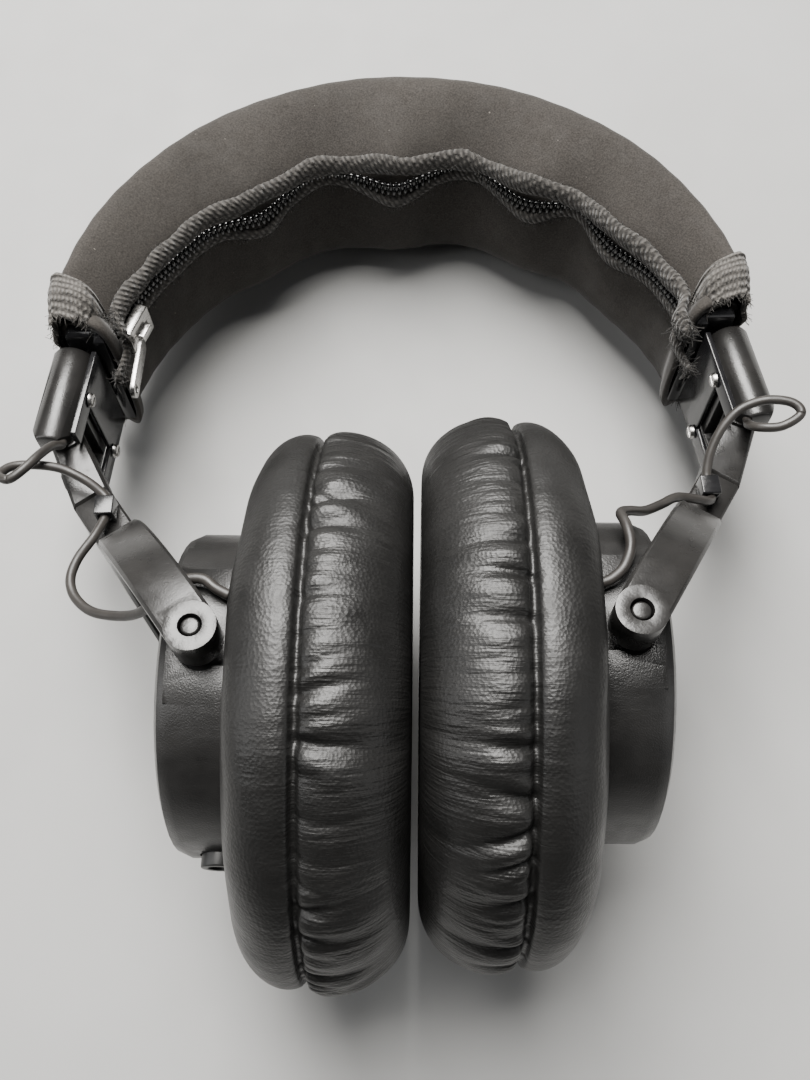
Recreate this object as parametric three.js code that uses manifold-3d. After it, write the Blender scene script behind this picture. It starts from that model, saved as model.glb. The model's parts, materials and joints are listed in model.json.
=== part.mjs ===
// Folding over-ear headphones lying on a table: a sprung headband in a zip-on padded cover,
// two sliding hinge blocks, folding and swivelling necks, C-shaped yokes and padded closed cups.
//
// The parts are drawn in the headphones' own frame, in millimetres: x runs from the left cup to
// the right cup, y from the cups up to the crown, and z out of the plane of the headband. The
// midpoint between the two ear pads is (0, 0, 0). At the end the whole object is tilted so that
// it rests on its pads and on the crown, and is moved to stand on z = 0.
//
// Each side's parts are drawn once, for the right side, and mirrored for the left.

import * as THREE from 'three';
import { mergeVertices } from 'three/addons/utils/BufferGeometryUtils.js';
import Module from 'manifold-3d';

const wasm = await Module();
wasm.setup();

// ---------------------------------------------------------------- driving dimensions

const GAP = 0.3;                    // clearance between touching pieces
const RESTING_TILT = degrees(10.25); // lean of the headband, from pads to crown
const CUP_REST_TURN = degrees(-2.8);// both cups sit turned a little in their yokes

// headband cover: a crescent between an outer and an inner circle
const COVER_OUTER = { y: 75.2, radius: 76.7 };
const COVER_INNER = { y: 58.5, radius: 67 };
const COVER_HALF_WIDTH = 20;
const COVER_WALL = 2.9;
const COVER_EDGE_ROUND = 4;
const COVER_OUTER_END = degrees(3); // where the cover stops, seen from the outer circle's centre
const COVER_INNER_END_Y = 76.6;     // height of the cover's inner lip

const SPRING = { inner: 66.6, outer: 67.9, halfWidth: 11, end: degrees(12) };
const FOAM = { outer: 66.2, halfWidth: 16, end: degrees(14) };

const ZIP_TAPE_THICKNESS = 2.4;
const ZIP_TAPE_UPPER = [11.5, 16.5];
const ZIP_TAPE_LOWER = [1, 6];
const ZIP_COIL = [7.2, 10.3];
const ZIP_COIL_THICKNESS = 1.6;
const ZIP_END = degrees(17.2);
const ZIP_SLIDER = { length: 9, width: 7.5, height: 2.6, bridgeLength: 4.4, bridgeHeight: 1.6 };
const ZIP_PULL = { length: 11, width: 4, thickness: 1, hang: degrees(17) };

const ELASTIC_THICKNESS = 1.1;

// slider rail and hinge block, in a frame that leans with the rail
const RAIL_LEAN = degrees(6);
const BLOCK_ORIGIN = { x: 72.6, y: 64.5 };
const RAIL = { x: -1.4, bottom: -4, top: 37, thickness: 1, halfWidth: 7 };
const BLOCK = { inner: -4.3, outer: 4.9, halfWidth: 12.6, top: 8.6, bottom: -15.2 };
const KNUCKLE_SLOT = { halfWidth: 8.2, top: -5.6, plateTop: -4 };
const FOLD_PIN = { x: -1.4, y: -11, radius: 1.4, halfLength: 10.2 };
const PLATE = { inner: -5.8, outer: -4.6, halfWidth: 12.4, top: 7.6, bottom: -13.6 };
const HINGE_SCREW = { y: -3.6, z: 10, radius: 1.7, height: 0.8 };

const END_HOUSING = { outer: 72.6, inner: 67.9, end: degrees(11.2), bottomY: 73.9, halfWidth: 15 };
const END_LIP = { inner: 64.1, outer: 66.4, bottomY: 72.2, topY: 76 };

// neck and yoke: the yoke lies in a plane that leans from the pivots up to the neck seam
const PIVOT = { x: 35.9, y: -4.6 };
const SEAM = { x: 65.2, y: 38 };
const NECK_HALF_WIDTH = 6.9;
const NECK_HALF_DEPTH = 4.1;
const YOKE = { outer: 39.4, inner: 34, halfDepth: 4.3 };
const YOKE_BOSS_INNER = 32.2;
const SWIVEL_PIN = { radius: 2.1, halfLength: 6.5 };
const PIVOT_PIN = { radius: 1.6, inner: 25, outer: 39 };
const PIN_CLEARANCE = 0.4;

// cup
const CUP_CENTRE_Y = -2.6;
const HOUSING = { radius: 30.6, wall: 2.4, front: 28.5, back: 43.6, rimRound: 3 };
const RECESS = { z: 27.4, bottom: -8, top: 15, outer: 39.5 };
const CAP = { radius: 22, thickness: 1.6 };
const BAFFLE = { front: 25.6, back: 28.2, radius: 32.6, hole: 19.5 };
const PAD = { face: 1, back: 31.3, radius: 53, opening: 28, lip: 31 };
const PAD_CENTRE_Y = -3;
const PAD_WIDTH_SHARE = 0.873;      // the pad is an oval, narrower from front to back
const DRIVER = { frameRadius: 22.5, magnetRadius: 9.5, front: 28.5 };
const GRILLE = { front: 23.9, back: 25.3, radius: 22, hole: 1.5, rings: [[0, 1], [7, 6], [14, 9]] };
const SOCKET = { x: 35, radius: 3.2, bore: 1.75, top: -29, bottom: -35.4 };

const LEAD_RADIUS = 0.95;
const CLIP = { x: 61.2, y: 34.2, z: 9.1, size: 3.8, length: 4.2 };

// routes of the short leads, chosen by hand, from the hinge block to the clip and on to the cup
const UPPER_LEAD_LEFT = [
  [-71.6, 48.8, 10.6], [-72.3, 46.6, 13.6], [-73.6, 43, 16], [-75.6, 39.2, 17.2], [-78.4, 37, 17],
  [-80.8, 38.6, 16], [-79.4, 41.4, 14.6], [-75.6, 42.4, 13.4], [-70.4, 42, 12.4], [-65.6, 40, 11],
  [-62.4, 37.8, 9.6], [-61.2, 36.2, 9.1], [-61.2, 34.4, 9.1],
];
const UPPER_LEAD_RIGHT = [
  [71.6, 48.8, 10.6], [70.6, 46.6, 13.2], [71.8, 44.4, 15.4], [75.6, 43.5, 17], [79.4, 45.5, 18.2],
  [78, 48, 18.6], [73.2, 49.2, 18], [68.2, 48.2, 16.6], [64.6, 45.3, 14.4], [62.4, 41.8, 12],
  [61.4, 38.6, 10], [61.2, 36.4, 9.1], [61.2, 34.4, 9.1],
];
const LOWER_LEAD_LEFT = [
  [-61.2, 34, 9.1], [-61.2, 31.6, 9.3], [-62.4, 27.2, 10.4], [-64.8, 22, 11.2], [-65.6, 17.4, 11.6],
  [-64, 13.2, 12.2], [-59.8, 9.4, 13.8], [-53, 6.8, 17.4], [-48, 5.6, 22.4], [-45, 6.4, 27.4],
  [-41.4, 7.6, 28.9], [-38.4, 8.2, 29.4], [-36, 7.8, 29.6], [-34, 6.2, 29.4], [-32.1, 5, 29.3],
];
const LOWER_LEAD_RIGHT = [
  [61.2, 34, 9.1], [61.2, 31.6, 9.3], [59.6, 30.3, 10.9], [56.4, 29.6, 13.2], [52.2, 28.7, 15.6],
  [47.8, 25.4, 18.8], [43.8, 22.7, 21.6], [40.2, 21, 25], [37.8, 19.2, 27.6], [38, 15.6, 29.6],
  [38, 11.2, 30.2], [36.4, 7.4, 30], [34, 5.4, 29.4], [32.1, 4.8, 29.3],
];

// ---------------------------------------------------------------- materials

function finish(colour, roughness, metalness = 0) {
  return new THREE.MeshStandardMaterial({ color: colour, roughness, metalness });
}

const NEOPRENE = finish(0x2b2927, 0.9);
const WOVEN_TAPE = finish(0x4a4845, 0.95);
const ZIP_PLASTIC = finish(0x141414, 0.35);
const ELASTIC = finish(0x55514c, 0.9);
const FOAM_GREY = finish(0x3a3a3a, 1);
const SPRING_STEEL = finish(0x8c8e90, 0.35, 1);
const BRIGHT_STEEL = finish(0xc4c6c8, 0.25, 1);
const BLACK_METAL = finish(0x1c1c1d, 0.4, 0.6);
const SATIN_PLASTIC = finish(0x1d1c1b, 0.45);
const GLOSS_PLASTIC = finish(0x101112, 0.2);
const TEXTURED_PLASTIC = finish(0x222120, 0.6);
const LEATHERETTE = finish(0x171717, 0.5);
const LEAD_RUBBER = finish(0x1e1c1a, 0.45);
const DRIVER_FILM = finish(0x9a8f7a, 0.4);

// ---------------------------------------------------------------- geometry helpers

function degrees(angle) {
  return angle * Math.PI / 180;
}

/** A closed manifold solid from a closed three.js geometry. */
function toSolid(geometry) {
  const plain = geometry.index ? geometry.toNonIndexed() : geometry.clone();
  plain.deleteAttribute('normal');
  plain.deleteAttribute('uv');
  const merged = mergeVertices(plain, 1e-4);
  return new wasm.Manifold(new wasm.Mesh({
    numProp: 3,
    vertProperties: merged.attributes.position.array,
    triVerts: merged.index.array,
  }));
}

/** A three.js geometry from a manifold solid. */
function toGeometry(solid) {
  const mesh = solid.getMesh();
  const geometry = new THREE.BufferGeometry();
  geometry.setAttribute('position', new THREE.BufferAttribute(mesh.vertProperties, 3));
  geometry.setIndex(new THREE.BufferAttribute(mesh.triVerts, 1));
  return geometry;
}

/** One geometry joined with some others and cut by the rest. */
function carve(body, { join = [], keep = [], cut = [] }) {
  let solid = toSolid(body);
  for (const piece of join) solid = solid.add(toSolid(piece));
  for (const piece of keep) solid = solid.intersect(toSolid(piece));
  for (const piece of cut) solid = solid.subtract(toSolid(piece));
  return toGeometry(solid);
}

/** The left side's copy of a right-side geometry. */
function mirrored(geometry) {
  const copy = geometry.index ? geometry.toNonIndexed() : geometry.clone();
  const points = copy.attributes.position;
  const first = new THREE.Vector3();
  const second = new THREE.Vector3();
  for (let corner = 0; corner < points.count; corner += 3) {
    first.fromBufferAttribute(points, corner + 1);
    second.fromBufferAttribute(points, corner + 2);
    points.setXYZ(corner + 1, second.x, second.y, second.z);
    points.setXYZ(corner + 2, first.x, first.y, first.z);
  }
  copy.deleteAttribute('normal');
  copy.deleteAttribute('uv');
  const flipped = new THREE.BufferGeometry();
  const values = points.array.map((value, index) => (index % 3 === 0 ? -value : value));
  flipped.setAttribute('position', new THREE.BufferAttribute(values, 3));
  return flipped;
}

/** An outline in the x-y plane, from z = low to z = high, with its long edges rounded. */
function slab(shape, low, high, round = 0, options = {}) {
  const geometry = new THREE.ExtrudeGeometry(shape, {
    depth: high - low - 2 * round,
    bevelEnabled: round > 0,
    bevelThickness: round,
    bevelSize: round,
    bevelOffset: -round,
    bevelSegments: options.roundSteps ?? 1,
    curveSegments: options.steps ?? 12,
  });
  return geometry.translate(0, 0, low + round);
}

function outline(points) {
  return new THREE.Shape(points.map(([x, y]) => new THREE.Vector2(x, y)));
}

function block(xRange, yRange, zRange) {
  const size = [xRange, yRange, zRange].map(([low, high]) => high - low);
  const centre = [xRange, yRange, zRange].map(([low, high]) => (high + low) / 2);
  return new THREE.BoxGeometry(...size).translate(...centre);
}

/** A cylinder along z. */
function rodAlongZ(radius, low, high, x, y, sides = 16) {
  const rod = new THREE.CylinderGeometry(radius, radius, high - low, sides);
  return rod.rotateX(Math.PI / 2).translate(x, y, (low + high) / 2);
}

/** A turned piece about the cup's axis: points are [radius, x], listed round the section. */
function turned(points, sides = 24) {
  const profile = points.map(([radius, x]) => new THREE.Vector2(radius, x));
  return new THREE.LatheGeometry(profile, sides).rotateZ(-Math.PI / 2);
}

/** A crescent between two arcs, given as circles about (0, y), from one end to the other. */
function crescent(outer, inner, outerEnd, innerEnd) {
  const shape = new THREE.Shape();
  shape.absarc(0, outer.y, outer.radius, outerEnd, Math.PI - outerEnd, false);
  shape.absarc(0, inner.y, inner.radius, Math.PI - innerEnd, innerEnd, true);
  return shape;
}

function tube(points, radius, steps) {
  const path = new THREE.CatmullRomCurve3(points.map((point) => new THREE.Vector3(...point)));
  const section = new THREE.Shape();
  section.absarc(0, 0, radius, 0, 2 * Math.PI, false);
  return new THREE.ExtrudeGeometry(section, { steps, curveSegments: 4, extrudePath: path });
}

// ---------------------------------------------------------------- building the group

const headphones = new THREE.Group();

function add(name, geometry, material, parent = headphones) {
  const mesh = new THREE.Mesh(geometry, material);
  mesh.name = name;
  parent.add(mesh);
  return mesh;
}

// ---------------------------------------------------------------- headband

/** The angle, about a circle's centre, at which the circle reaches a height. */
function angleAtHeight(circle, y) {
  return Math.asin((y - circle.y) / circle.radius);
}

const coverInnerEnd = angleAtHeight(COVER_INNER, COVER_INNER_END_Y);

function coverOutline() {
  return crescent(COVER_OUTER, COVER_INNER, COVER_OUTER_END, coverInnerEnd);
}

/** The hollow inside the cover, running out past both of its ends. */
function coverHollow() {
  const outer = { y: COVER_OUTER.y, radius: COVER_OUTER.radius - COVER_WALL };
  const inner = { y: COVER_INNER.y, radius: COVER_INNER.radius + COVER_WALL };
  const shape = crescent(outer, inner, degrees(-8), angleAtHeight(inner, 66));
  const half = COVER_HALF_WIDTH - COVER_WALL;
  return slab(shape, -half, half, 0, { steps: 18 });
}

function headbandCover() {
  const half = COVER_HALF_WIDTH;
  const options = { steps: 18, roundSteps: 2 };
  const body = slab(coverOutline(), -half, half, COVER_EDGE_ROUND, options);
  return carve(body, { cut: [coverHollow()] });
}

function springBand() {
  const outer = { y: COVER_OUTER.y, radius: SPRING.outer };
  const inner = { y: COVER_OUTER.y, radius: SPRING.inner };
  const shape = crescent(outer, inner, SPRING.end, SPRING.end);
  return slab(shape, -SPRING.halfWidth, SPRING.halfWidth, 0, { steps: 16 });
}

function bandFoam() {
  const outer = { y: COVER_OUTER.y, radius: FOAM.outer };
  const inner = { y: COVER_INNER.y, radius: COVER_INNER.radius + COVER_WALL + 0.5 };
  const shape = crescent(outer, inner, FOAM.end, angleAtHeight(inner, 93));
  return slab(shape, -FOAM.halfWidth, FOAM.halfWidth, 0, { steps: 14 });
}

/** A strip that follows the cover's inner surface, standing proud of it. */
function innerStrip([low, high], thickness) {
  const outer = { y: COVER_INNER.y, radius: COVER_INNER.radius - GAP };
  const inner = { y: COVER_INNER.y, radius: COVER_INNER.radius - GAP - thickness };
  return slab(crescent(outer, inner, ZIP_END, ZIP_END), low, high, 0, { steps: 14 });
}

/** Places a piece at an angle on the inner surface: x across the tapes' travel, y outwards. */
function onInnerSurface(geometry, angle, radius) {
  const x = radius * Math.cos(angle);
  const y = COVER_INNER.y + radius * Math.sin(angle);
  return geometry.rotateZ(angle).translate(x, y, 0);
}

const sliderAngle = Math.PI - degrees(20);
const sliderRadius = COVER_INNER.radius - ZIP_TAPE_THICKNESS - 2 * GAP - ZIP_SLIDER.height / 2;
const zipCentreZ = (ZIP_COIL[0] + ZIP_COIL[1]) / 2;

function zipperSlider() {
  const { length, width, height, bridgeLength, bridgeHeight } = ZIP_SLIDER;
  const body = new THREE.BoxGeometry(height, length, width);
  const bridge = new THREE.BoxGeometry(bridgeHeight, bridgeLength, 1.6);
  bridge.translate(-(height + bridgeHeight) / 2 + 0.2, 0, 0);
  const joined = carve(body, { join: [bridge] }).translate(0, 0, zipCentreZ);
  return onInnerSurface(joined, sliderAngle, sliderRadius);
}

function zipperPull() {
  const { length, width, thickness, hang } = ZIP_PULL;
  const shape = new THREE.Shape();
  shape.absarc(0, 0, width / 2, Math.PI, 2 * Math.PI, false);
  shape.absarc(0, length, width / 2, 0, Math.PI, false);
  const hole = new THREE.Path();
  hole.absarc(0, length, width / 4, 0, 2 * Math.PI, true);
  shape.holes.push(hole);
  const plate = slab(shape, -thickness / 2, thickness / 2, 0, { steps: 5 }).rotateY(Math.PI / 2);
  plate.translate(-thickness / 2, 0, 0).rotateZ(hang);
  plate.translate(
    -ZIP_SLIDER.height / 2 - GAP - thickness,
    ZIP_SLIDER.bridgeLength / 2 + GAP + width / 2,
    zipCentreZ,
  );
  return onInnerSurface(plate, sliderAngle, sliderRadius);
}

// ---------------------------------------------------------------- band ends, rails and hinge blocks

/** Turns a piece from the leaning frame of the rail into the headphones' frame. */
function leaning(geometry) {
  return geometry.rotateZ(RAIL_LEAN).translate(BLOCK_ORIGIN.x, BLOCK_ORIGIN.y, 0);
}

function railSlot() {
  const half = RAIL.thickness / 2 + GAP;
  const wide = RAIL.halfWidth + GAP;
  return leaning(block([RAIL.x - half, RAIL.x + half], [0, 60], [-wide, wide]));
}

function bandEndHousing() {
  const { outer, inner, end, bottomY, halfWidth } = END_HOUSING;
  const shape = new THREE.Shape();
  shape.moveTo(END_LIP.inner, END_LIP.bottomY);
  shape.lineTo(END_LIP.outer, END_LIP.bottomY);
  shape.lineTo(END_LIP.outer, bottomY);
  const outerStart = Math.asin((bottomY - COVER_OUTER.y) / outer);
  shape.absarc(0, COVER_OUTER.y, outer, outerStart, end, false);
  shape.absarc(0, COVER_OUTER.y, inner, end, degrees(1.5), true);
  shape.lineTo(inner, END_LIP.topY);
  shape.lineTo(END_LIP.inner, END_LIP.topY);
  shape.closePath();
  const body = slab(shape, -halfWidth, halfWidth, 0.8, { steps: 6 });
  return carve(body, { cut: [railSlot()] });
}

function elasticEnd() {
  const strip = outline([[66.5, 74.8], [82, 79], [82, 90], [66.5, 82]]);
  const grown = (by) => {
    const outer = { y: COVER_OUTER.y, radius: COVER_OUTER.radius + by };
    const inner = { y: COVER_INNER.y, radius: COVER_INNER.radius - by };
    const shape = crescent(outer, inner, degrees(-8), angleAtHeight(inner, 68));
    const half = COVER_HALF_WIDTH + by;
    return slab(shape, -half, half, COVER_EDGE_ROUND, { steps: 18, roundSteps: 2 });
  };
  const body = slab(strip, -30, 30);
  const thickness = GAP + ELASTIC_THICKNESS;
  const keepOutside = block([66.5, 90], [60, 100], [-30, 30]);
  return carve(body, { keep: [grown(thickness), keepOutside], cut: [grown(GAP)] });
}

function sliderRail() {
  const { x, bottom, top, thickness, halfWidth } = RAIL;
  const half = thickness / 2;
  return leaning(block([x - half, x + half], [bottom, top], [-halfWidth, halfWidth]));
}

/** The block's section, flat inside and out with round front and rear ends. */
function blockSection() {
  const radius = (BLOCK.outer - BLOCK.inner) / 2;
  const middle = (BLOCK.outer + BLOCK.inner) / 2;
  const reach = BLOCK.halfWidth - radius;
  const shape = new THREE.Shape();
  shape.absarc(middle, reach, radius, 0, Math.PI, false);
  shape.absarc(middle, -reach, radius, Math.PI, 2 * Math.PI, false);
  const height = BLOCK.top - BLOCK.bottom;
  const prism = slab(shape, 0, height, 0.9, { steps: 5, roundSteps: 2 });
  return prism.rotateX(-Math.PI / 2).translate(0, BLOCK.bottom, 0);
}

function blockProfile() {
  const { inner, outer, top, bottom } = BLOCK;
  return slab(outline([
    [inner - 1, top + 1], [outer - 1.2, top + 1], [outer - 0.5, top - 2], [outer + 0.1, -7],
    [outer - 0.9, -12.4], [2.4, bottom], [-1.8, bottom], [-3.7, -13], [inner - 1, -9],
  ]), -20, 20);
}

function hingeBlock() {
  const { halfWidth, top } = KNUCKLE_SLOT;
  const slot = block([-10, 10], [BLOCK.bottom - 1, top], [-halfWidth, halfWidth]);
  const pinHole = rodAlongZ(
    FOLD_PIN.radius + GAP, -FOLD_PIN.halfLength - GAP, FOLD_PIN.halfLength + GAP, FOLD_PIN.x, FOLD_PIN.y,
  );
  const half = RAIL.thickness / 2 + GAP;
  const wide = RAIL.halfWidth + GAP;
  const railSocket = block([RAIL.x - half, RAIL.x + half], [RAIL.bottom - GAP, 20], [-wide, wide]);
  const body = carve(blockSection(), { keep: [blockProfile()], cut: [slot, pinHole, railSocket] });
  return leaning(body);
}

function hingePlate() {
  const { inner, outer, halfWidth, top, bottom } = PLATE;
  const body = block([inner, outer], [bottom, top], [-halfWidth, halfWidth]);
  const slot = block(
    [inner - 1, outer + 1], [bottom - 1, KNUCKLE_SLOT.plateTop], [-KNUCKLE_SLOT.halfWidth, KNUCKLE_SLOT.halfWidth],
  );
  return leaning(carve(body, { cut: [slot] }));
}

function hingeScrew(z) {
  const { y, radius, height } = HINGE_SCREW;
  const head = new THREE.CylinderGeometry(radius, radius * 0.8, height, 20);
  const slotted = carve(head.rotateZ(-Math.PI / 2), {
    cut: [block([-height, -height / 2 + 0.35], [-radius, radius], [-0.3, 0.3])],
  });
  const x = PLATE.inner - GAP - height / 2;
  return leaning(slotted.translate(x, y, z));
}

function foldPin() {
  const { x, y, radius, halfLength } = FOLD_PIN;
  return leaning(rodAlongZ(radius, -halfLength, halfLength, x, y));
}

// ---------------------------------------------------------------- neck and yoke

const foldAxis = new THREE.Vector2(FOLD_PIN.x, FOLD_PIN.y)
  .rotateAround(new THREE.Vector2(), RAIL_LEAN)
  .add(new THREE.Vector2(BLOCK_ORIGIN.x, BLOCK_ORIGIN.y));
const yokeAngle = Math.atan2(SEAM.y - PIVOT.y, SEAM.x - PIVOT.x);
const seamDistance = Math.hypot(SEAM.y - PIVOT.y, SEAM.x - PIVOT.x);

/** Turns a piece drawn with the yoke's plane as x-z, and the pivots at x = 0, into place. */
function inYokePlane(geometry) {
  return geometry.rotateZ(yokeAngle).translate(PIVOT.x, PIVOT.y, 0);
}

/** A cylinder along the neck's swivel axis, about the seam. */
function alongNeck(radius, from, to) {
  const rod = new THREE.CylinderGeometry(radius, radius, to - from, 16);
  return inYokePlane(rod.rotateZ(Math.PI / 2).translate(seamDistance + (from + to) / 2, 0, 0));
}

function neckKnuckle() {
  const eyeRadius = 3.6;
  const top = foldAxis;
  const along = new THREE.Vector2(Math.cos(yokeAngle), Math.sin(yokeAngle));
  const across = new THREE.Vector2(-along.y, along.x);
  const seam = new THREE.Vector2(SEAM.x, SEAM.y).addScaledVector(along, GAP / 2);
  const corner = (from, alongBy, acrossBy) => {
    const point = from.clone().addScaledVector(along, alongBy).addScaledVector(across, acrossBy);
    return [point.x, point.y];
  };
  const profile = outline([
    corner(seam, 0, NECK_HALF_DEPTH), corner(seam, 0, -NECK_HALF_DEPTH),
    [top.x + eyeRadius, top.y - 0.6], [top.x + eyeRadius - 1, top.y + 2], [top.x, top.y + eyeRadius],
    [top.x - eyeRadius, top.y + 0.6],
  ]);
  const body = slab(profile, -NECK_HALF_WIDTH, NECK_HALF_WIDTH, 0.7);
  const eye = rodAlongZ(eyeRadius, -KNUCKLE_SLOT.halfWidth + GAP, KNUCKLE_SLOT.halfWidth - GAP, top.x, top.y);
  const pinHole = rodAlongZ(FOLD_PIN.radius + GAP, -20, 20, top.x, top.y);
  const swivelHole = alongNeck(SWIVEL_PIN.radius + PIN_CLEARANCE, -1, SWIVEL_PIN.halfLength + GAP);
  return carve(body, { join: [eye], cut: [pinHole, swivelHole] });
}

function swivelPin() {
  return alongNeck(SWIVEL_PIN.radius, -SWIVEL_PIN.halfLength, SWIVEL_PIN.halfLength);
}

function yoke() {
  const { outer, inner, halfDepth } = YOKE;
  const shape = new THREE.Shape();
  shape.absarc(0, 0, outer, -Math.PI / 2, Math.PI / 2, false);
  shape.absarc(0, 0, inner, Math.PI / 2, -Math.PI / 2, true);
  const ring = slab(shape, -halfDepth, halfDepth, 0.6, { steps: 24 }).rotateX(Math.PI / 2);
  const stemLength = seamDistance - GAP / 2 - YOKE.inner - 1;
  const stem = slab(outline([
    [0, -NECK_HALF_WIDTH - 1.6], [6.5, -NECK_HALF_WIDTH], [stemLength, -NECK_HALF_WIDTH],
    [stemLength, NECK_HALF_WIDTH], [6.5, NECK_HALF_WIDTH], [0, NECK_HALF_WIDTH + 1.6],
  ]), -NECK_HALF_DEPTH, NECK_HALF_DEPTH, 0.5).rotateX(Math.PI / 2).translate(YOKE.inner + 1, 0, 0);
  const bosses = [-1, 1].map((end) => {
    const low = end > 0 ? YOKE_BOSS_INNER : -outer;
    return rodAlongZ(halfDepth, low, low + outer - YOKE_BOSS_INNER, 0, 0, 28);
  });
  const hole = rodAlongZ(PIVOT_PIN.radius + PIN_CLEARANCE, -50, 50, 0, 0);
  const body = inYokePlane(carve(ring, { join: [stem, ...bosses], cut: [hole] }));
  const swivelHole = alongNeck(SWIVEL_PIN.radius + PIN_CLEARANCE, -SWIVEL_PIN.halfLength - GAP, 1);
  return carve(body, { cut: [swivelHole] });
}

function pivotPin(end) {
  const { radius, inner, outer } = PIVOT_PIN;
  const low = end > 0 ? inner : -outer;
  return rodAlongZ(radius, low, low + outer - inner, PIVOT.x, PIVOT.y);
}

function cableClip() {
  const { x, y, z, size, length } = CLIP;
  const body = block([-size / 2, size / 2], [-length / 2, length / 2], [-size / 2, size / 2]);
  const hole = new THREE.CylinderGeometry(LEAD_RADIUS + GAP, LEAD_RADIUS + GAP, 20, 16);
  return carve(body, { cut: [hole] }).translate(x, y, z);
}

// ---------------------------------------------------------------- cup

/** A piece drawn about the cup's centre line, moved so that the pivot axis is at the origin. */
function aboutPivot(geometry) {
  return geometry.translate(-PIVOT.x, -PIVOT.y, 0);
}

function cupHousing(withSocket) {
  const { radius, wall, front, back, rimRound } = HOUSING;
  const inside = radius - wall;
  const capSeat = CAP.radius + GAP;
  const shell = turned([
    [inside, front], [radius, front], [radius, back - rimRound], [radius - 0.9, back - 0.9],
    [radius - rimRound, back], [capSeat, back], [capSeat, back - CAP.thickness], [0, back - CAP.thickness],
    [0, back - CAP.thickness - wall], [inside, back - CAP.thickness - wall],
    [inside, front],
  ], 48).translate(0, CUP_CENTRE_Y, 0);
  const drum = new THREE.CylinderGeometry(radius, radius, 60, 48);
  drum.rotateZ(Math.PI / 2).translate(30, CUP_CENTRE_Y, 0);
  const bosses = [-1, 1].map((end) => carve(
    block([front, RECESS.outer + 2], [-14, 17], end > 0 ? [23.5, 30.4] : [-30.4, -23.5]),
    { keep: [drum] },
  ));
  const recesses = [-1, 1].map((end) => slab(
    outline([
      [front - 1, RECESS.bottom], [RECESS.outer - 3, RECESS.bottom], [RECESS.outer, RECESS.bottom + 3],
      [RECESS.outer, -2], [back + 1, 5], [back + 1, RECESS.top], [front - 1, RECESS.top],
    ]),
    end > 0 ? RECESS.z : -40, end > 0 ? 40 : -RECESS.z,
  ));
  const pinHole = rodAlongZ(PIVOT_PIN.radius + PIN_CLEARANCE, -50, 50, PIVOT.x, PIVOT.y);
  const cuts = [...recesses, pinHole];
  if (withSocket) cuts.push(socketRod(SOCKET.radius + GAP, -2));
  return aboutPivot(carve(shell, { join: bosses, cut: cuts }));
}

function socketRod(radius, extra) {
  const { x, top, bottom } = SOCKET;
  const rod = new THREE.CylinderGeometry(radius, radius, top - bottom - extra, 24);
  return rod.translate(x, (top + bottom) / 2, 0);
}

function cableSocket() {
  const { bore, top, bottom, x } = SOCKET;
  const hole = new THREE.CylinderGeometry(bore, bore, 20, 20);
  hole.translate(x, bottom + (top - bottom) * 0.75 - 10, 0);
  return aboutPivot(carve(socketRod(SOCKET.radius, 0), { cut: [hole] }));
}

function cupCap() {
  const { radius, thickness } = CAP;
  const x = HOUSING.back - thickness + GAP;
  const disc = turned([[0, x], [radius, x], [radius, HOUSING.back - 0.4], [radius - 0.6, HOUSING.back],
    [0, HOUSING.back]], 36);
  return aboutPivot(disc.translate(0, CUP_CENTRE_Y, 0));
}

function baffle() {
  const { front, back, radius, hole } = BAFFLE;
  const plate = turned([[0, front], [radius, front], [radius, back], [0, back]], 40);
  const opening = new THREE.CylinderGeometry(hole, hole, 60, 32).rotateZ(Math.PI / 2);
  opening.translate(30, 0, 0);
  return aboutPivot(carve(plate, { cut: [opening] }).translate(0, CUP_CENTRE_Y, 0));
}

/** A thick oval ring; a groove in its back holds the baffle's rim. */
function earPad() {
  const { face, back, radius, opening, lip } = PAD;
  const ring = turned([
    [opening, back], [opening, face + 9], [opening + 2.5, face + 3.5], [opening + 7, face + 0.8],
    [opening + 12, face], [radius - 9, face + 1.6], [radius - 3.4, face + 6], [radius, face + 15],
    [radius - 1.4, back - 8.6], [radius - 5, back - 4], [radius - 10, back - 1.2], [lip + 5, back],
    [opening, back],
  ], 30).scale(1, 1, PAD_WIDTH_SHARE).translate(0, PAD_CENTRE_Y, 0);
  const grooveRadius = BAFFLE.radius + 0.5;
  const groove = turned([
    [0, BAFFLE.front - GAP], [grooveRadius, BAFFLE.front - GAP], [grooveRadius, BAFFLE.back + GAP],
    [lip, BAFFLE.back + GAP], [lip, back + 1], [0, back + 1],
  ], 32).translate(0, CUP_CENTRE_Y, 0);
  return aboutPivot(carve(ring, { cut: [groove] }));
}

function driverFrame() {
  const { frameRadius, front } = DRIVER;
  return aboutPivot(turned([
    [17, front], [frameRadius, front], [frameRadius, front + 1.6], [17.6, front + 2.4],
    [11.4, front + 4.6], [10, front + 4.6], [10, front + 3.2], [15.4, front + 1.4], [17, front],
  ]));
}

function driverMagnet() {
  const { magnetRadius, front } = DRIVER;
  return aboutPivot(turned([
    [0, front + 3.4], [magnetRadius, front + 3.4], [magnetRadius, front + 8.6],
    [magnetRadius - 0.8, front + 9.4], [0, front + 9.4],
  ]));
}

function driverDiaphragm() {
  const { front } = DRIVER;
  return aboutPivot(turned([
    [0, front - 2.2], [6, front - 1.6], [9.4, front], [12.5, front - 1.1], [16.4, front - 0.2],
    [16.4, front + 0.2], [12.5, front - 0.6], [9.4, front + 0.6], [6, front - 1], [0, front - 1.6],
  ], 16));
}

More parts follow.
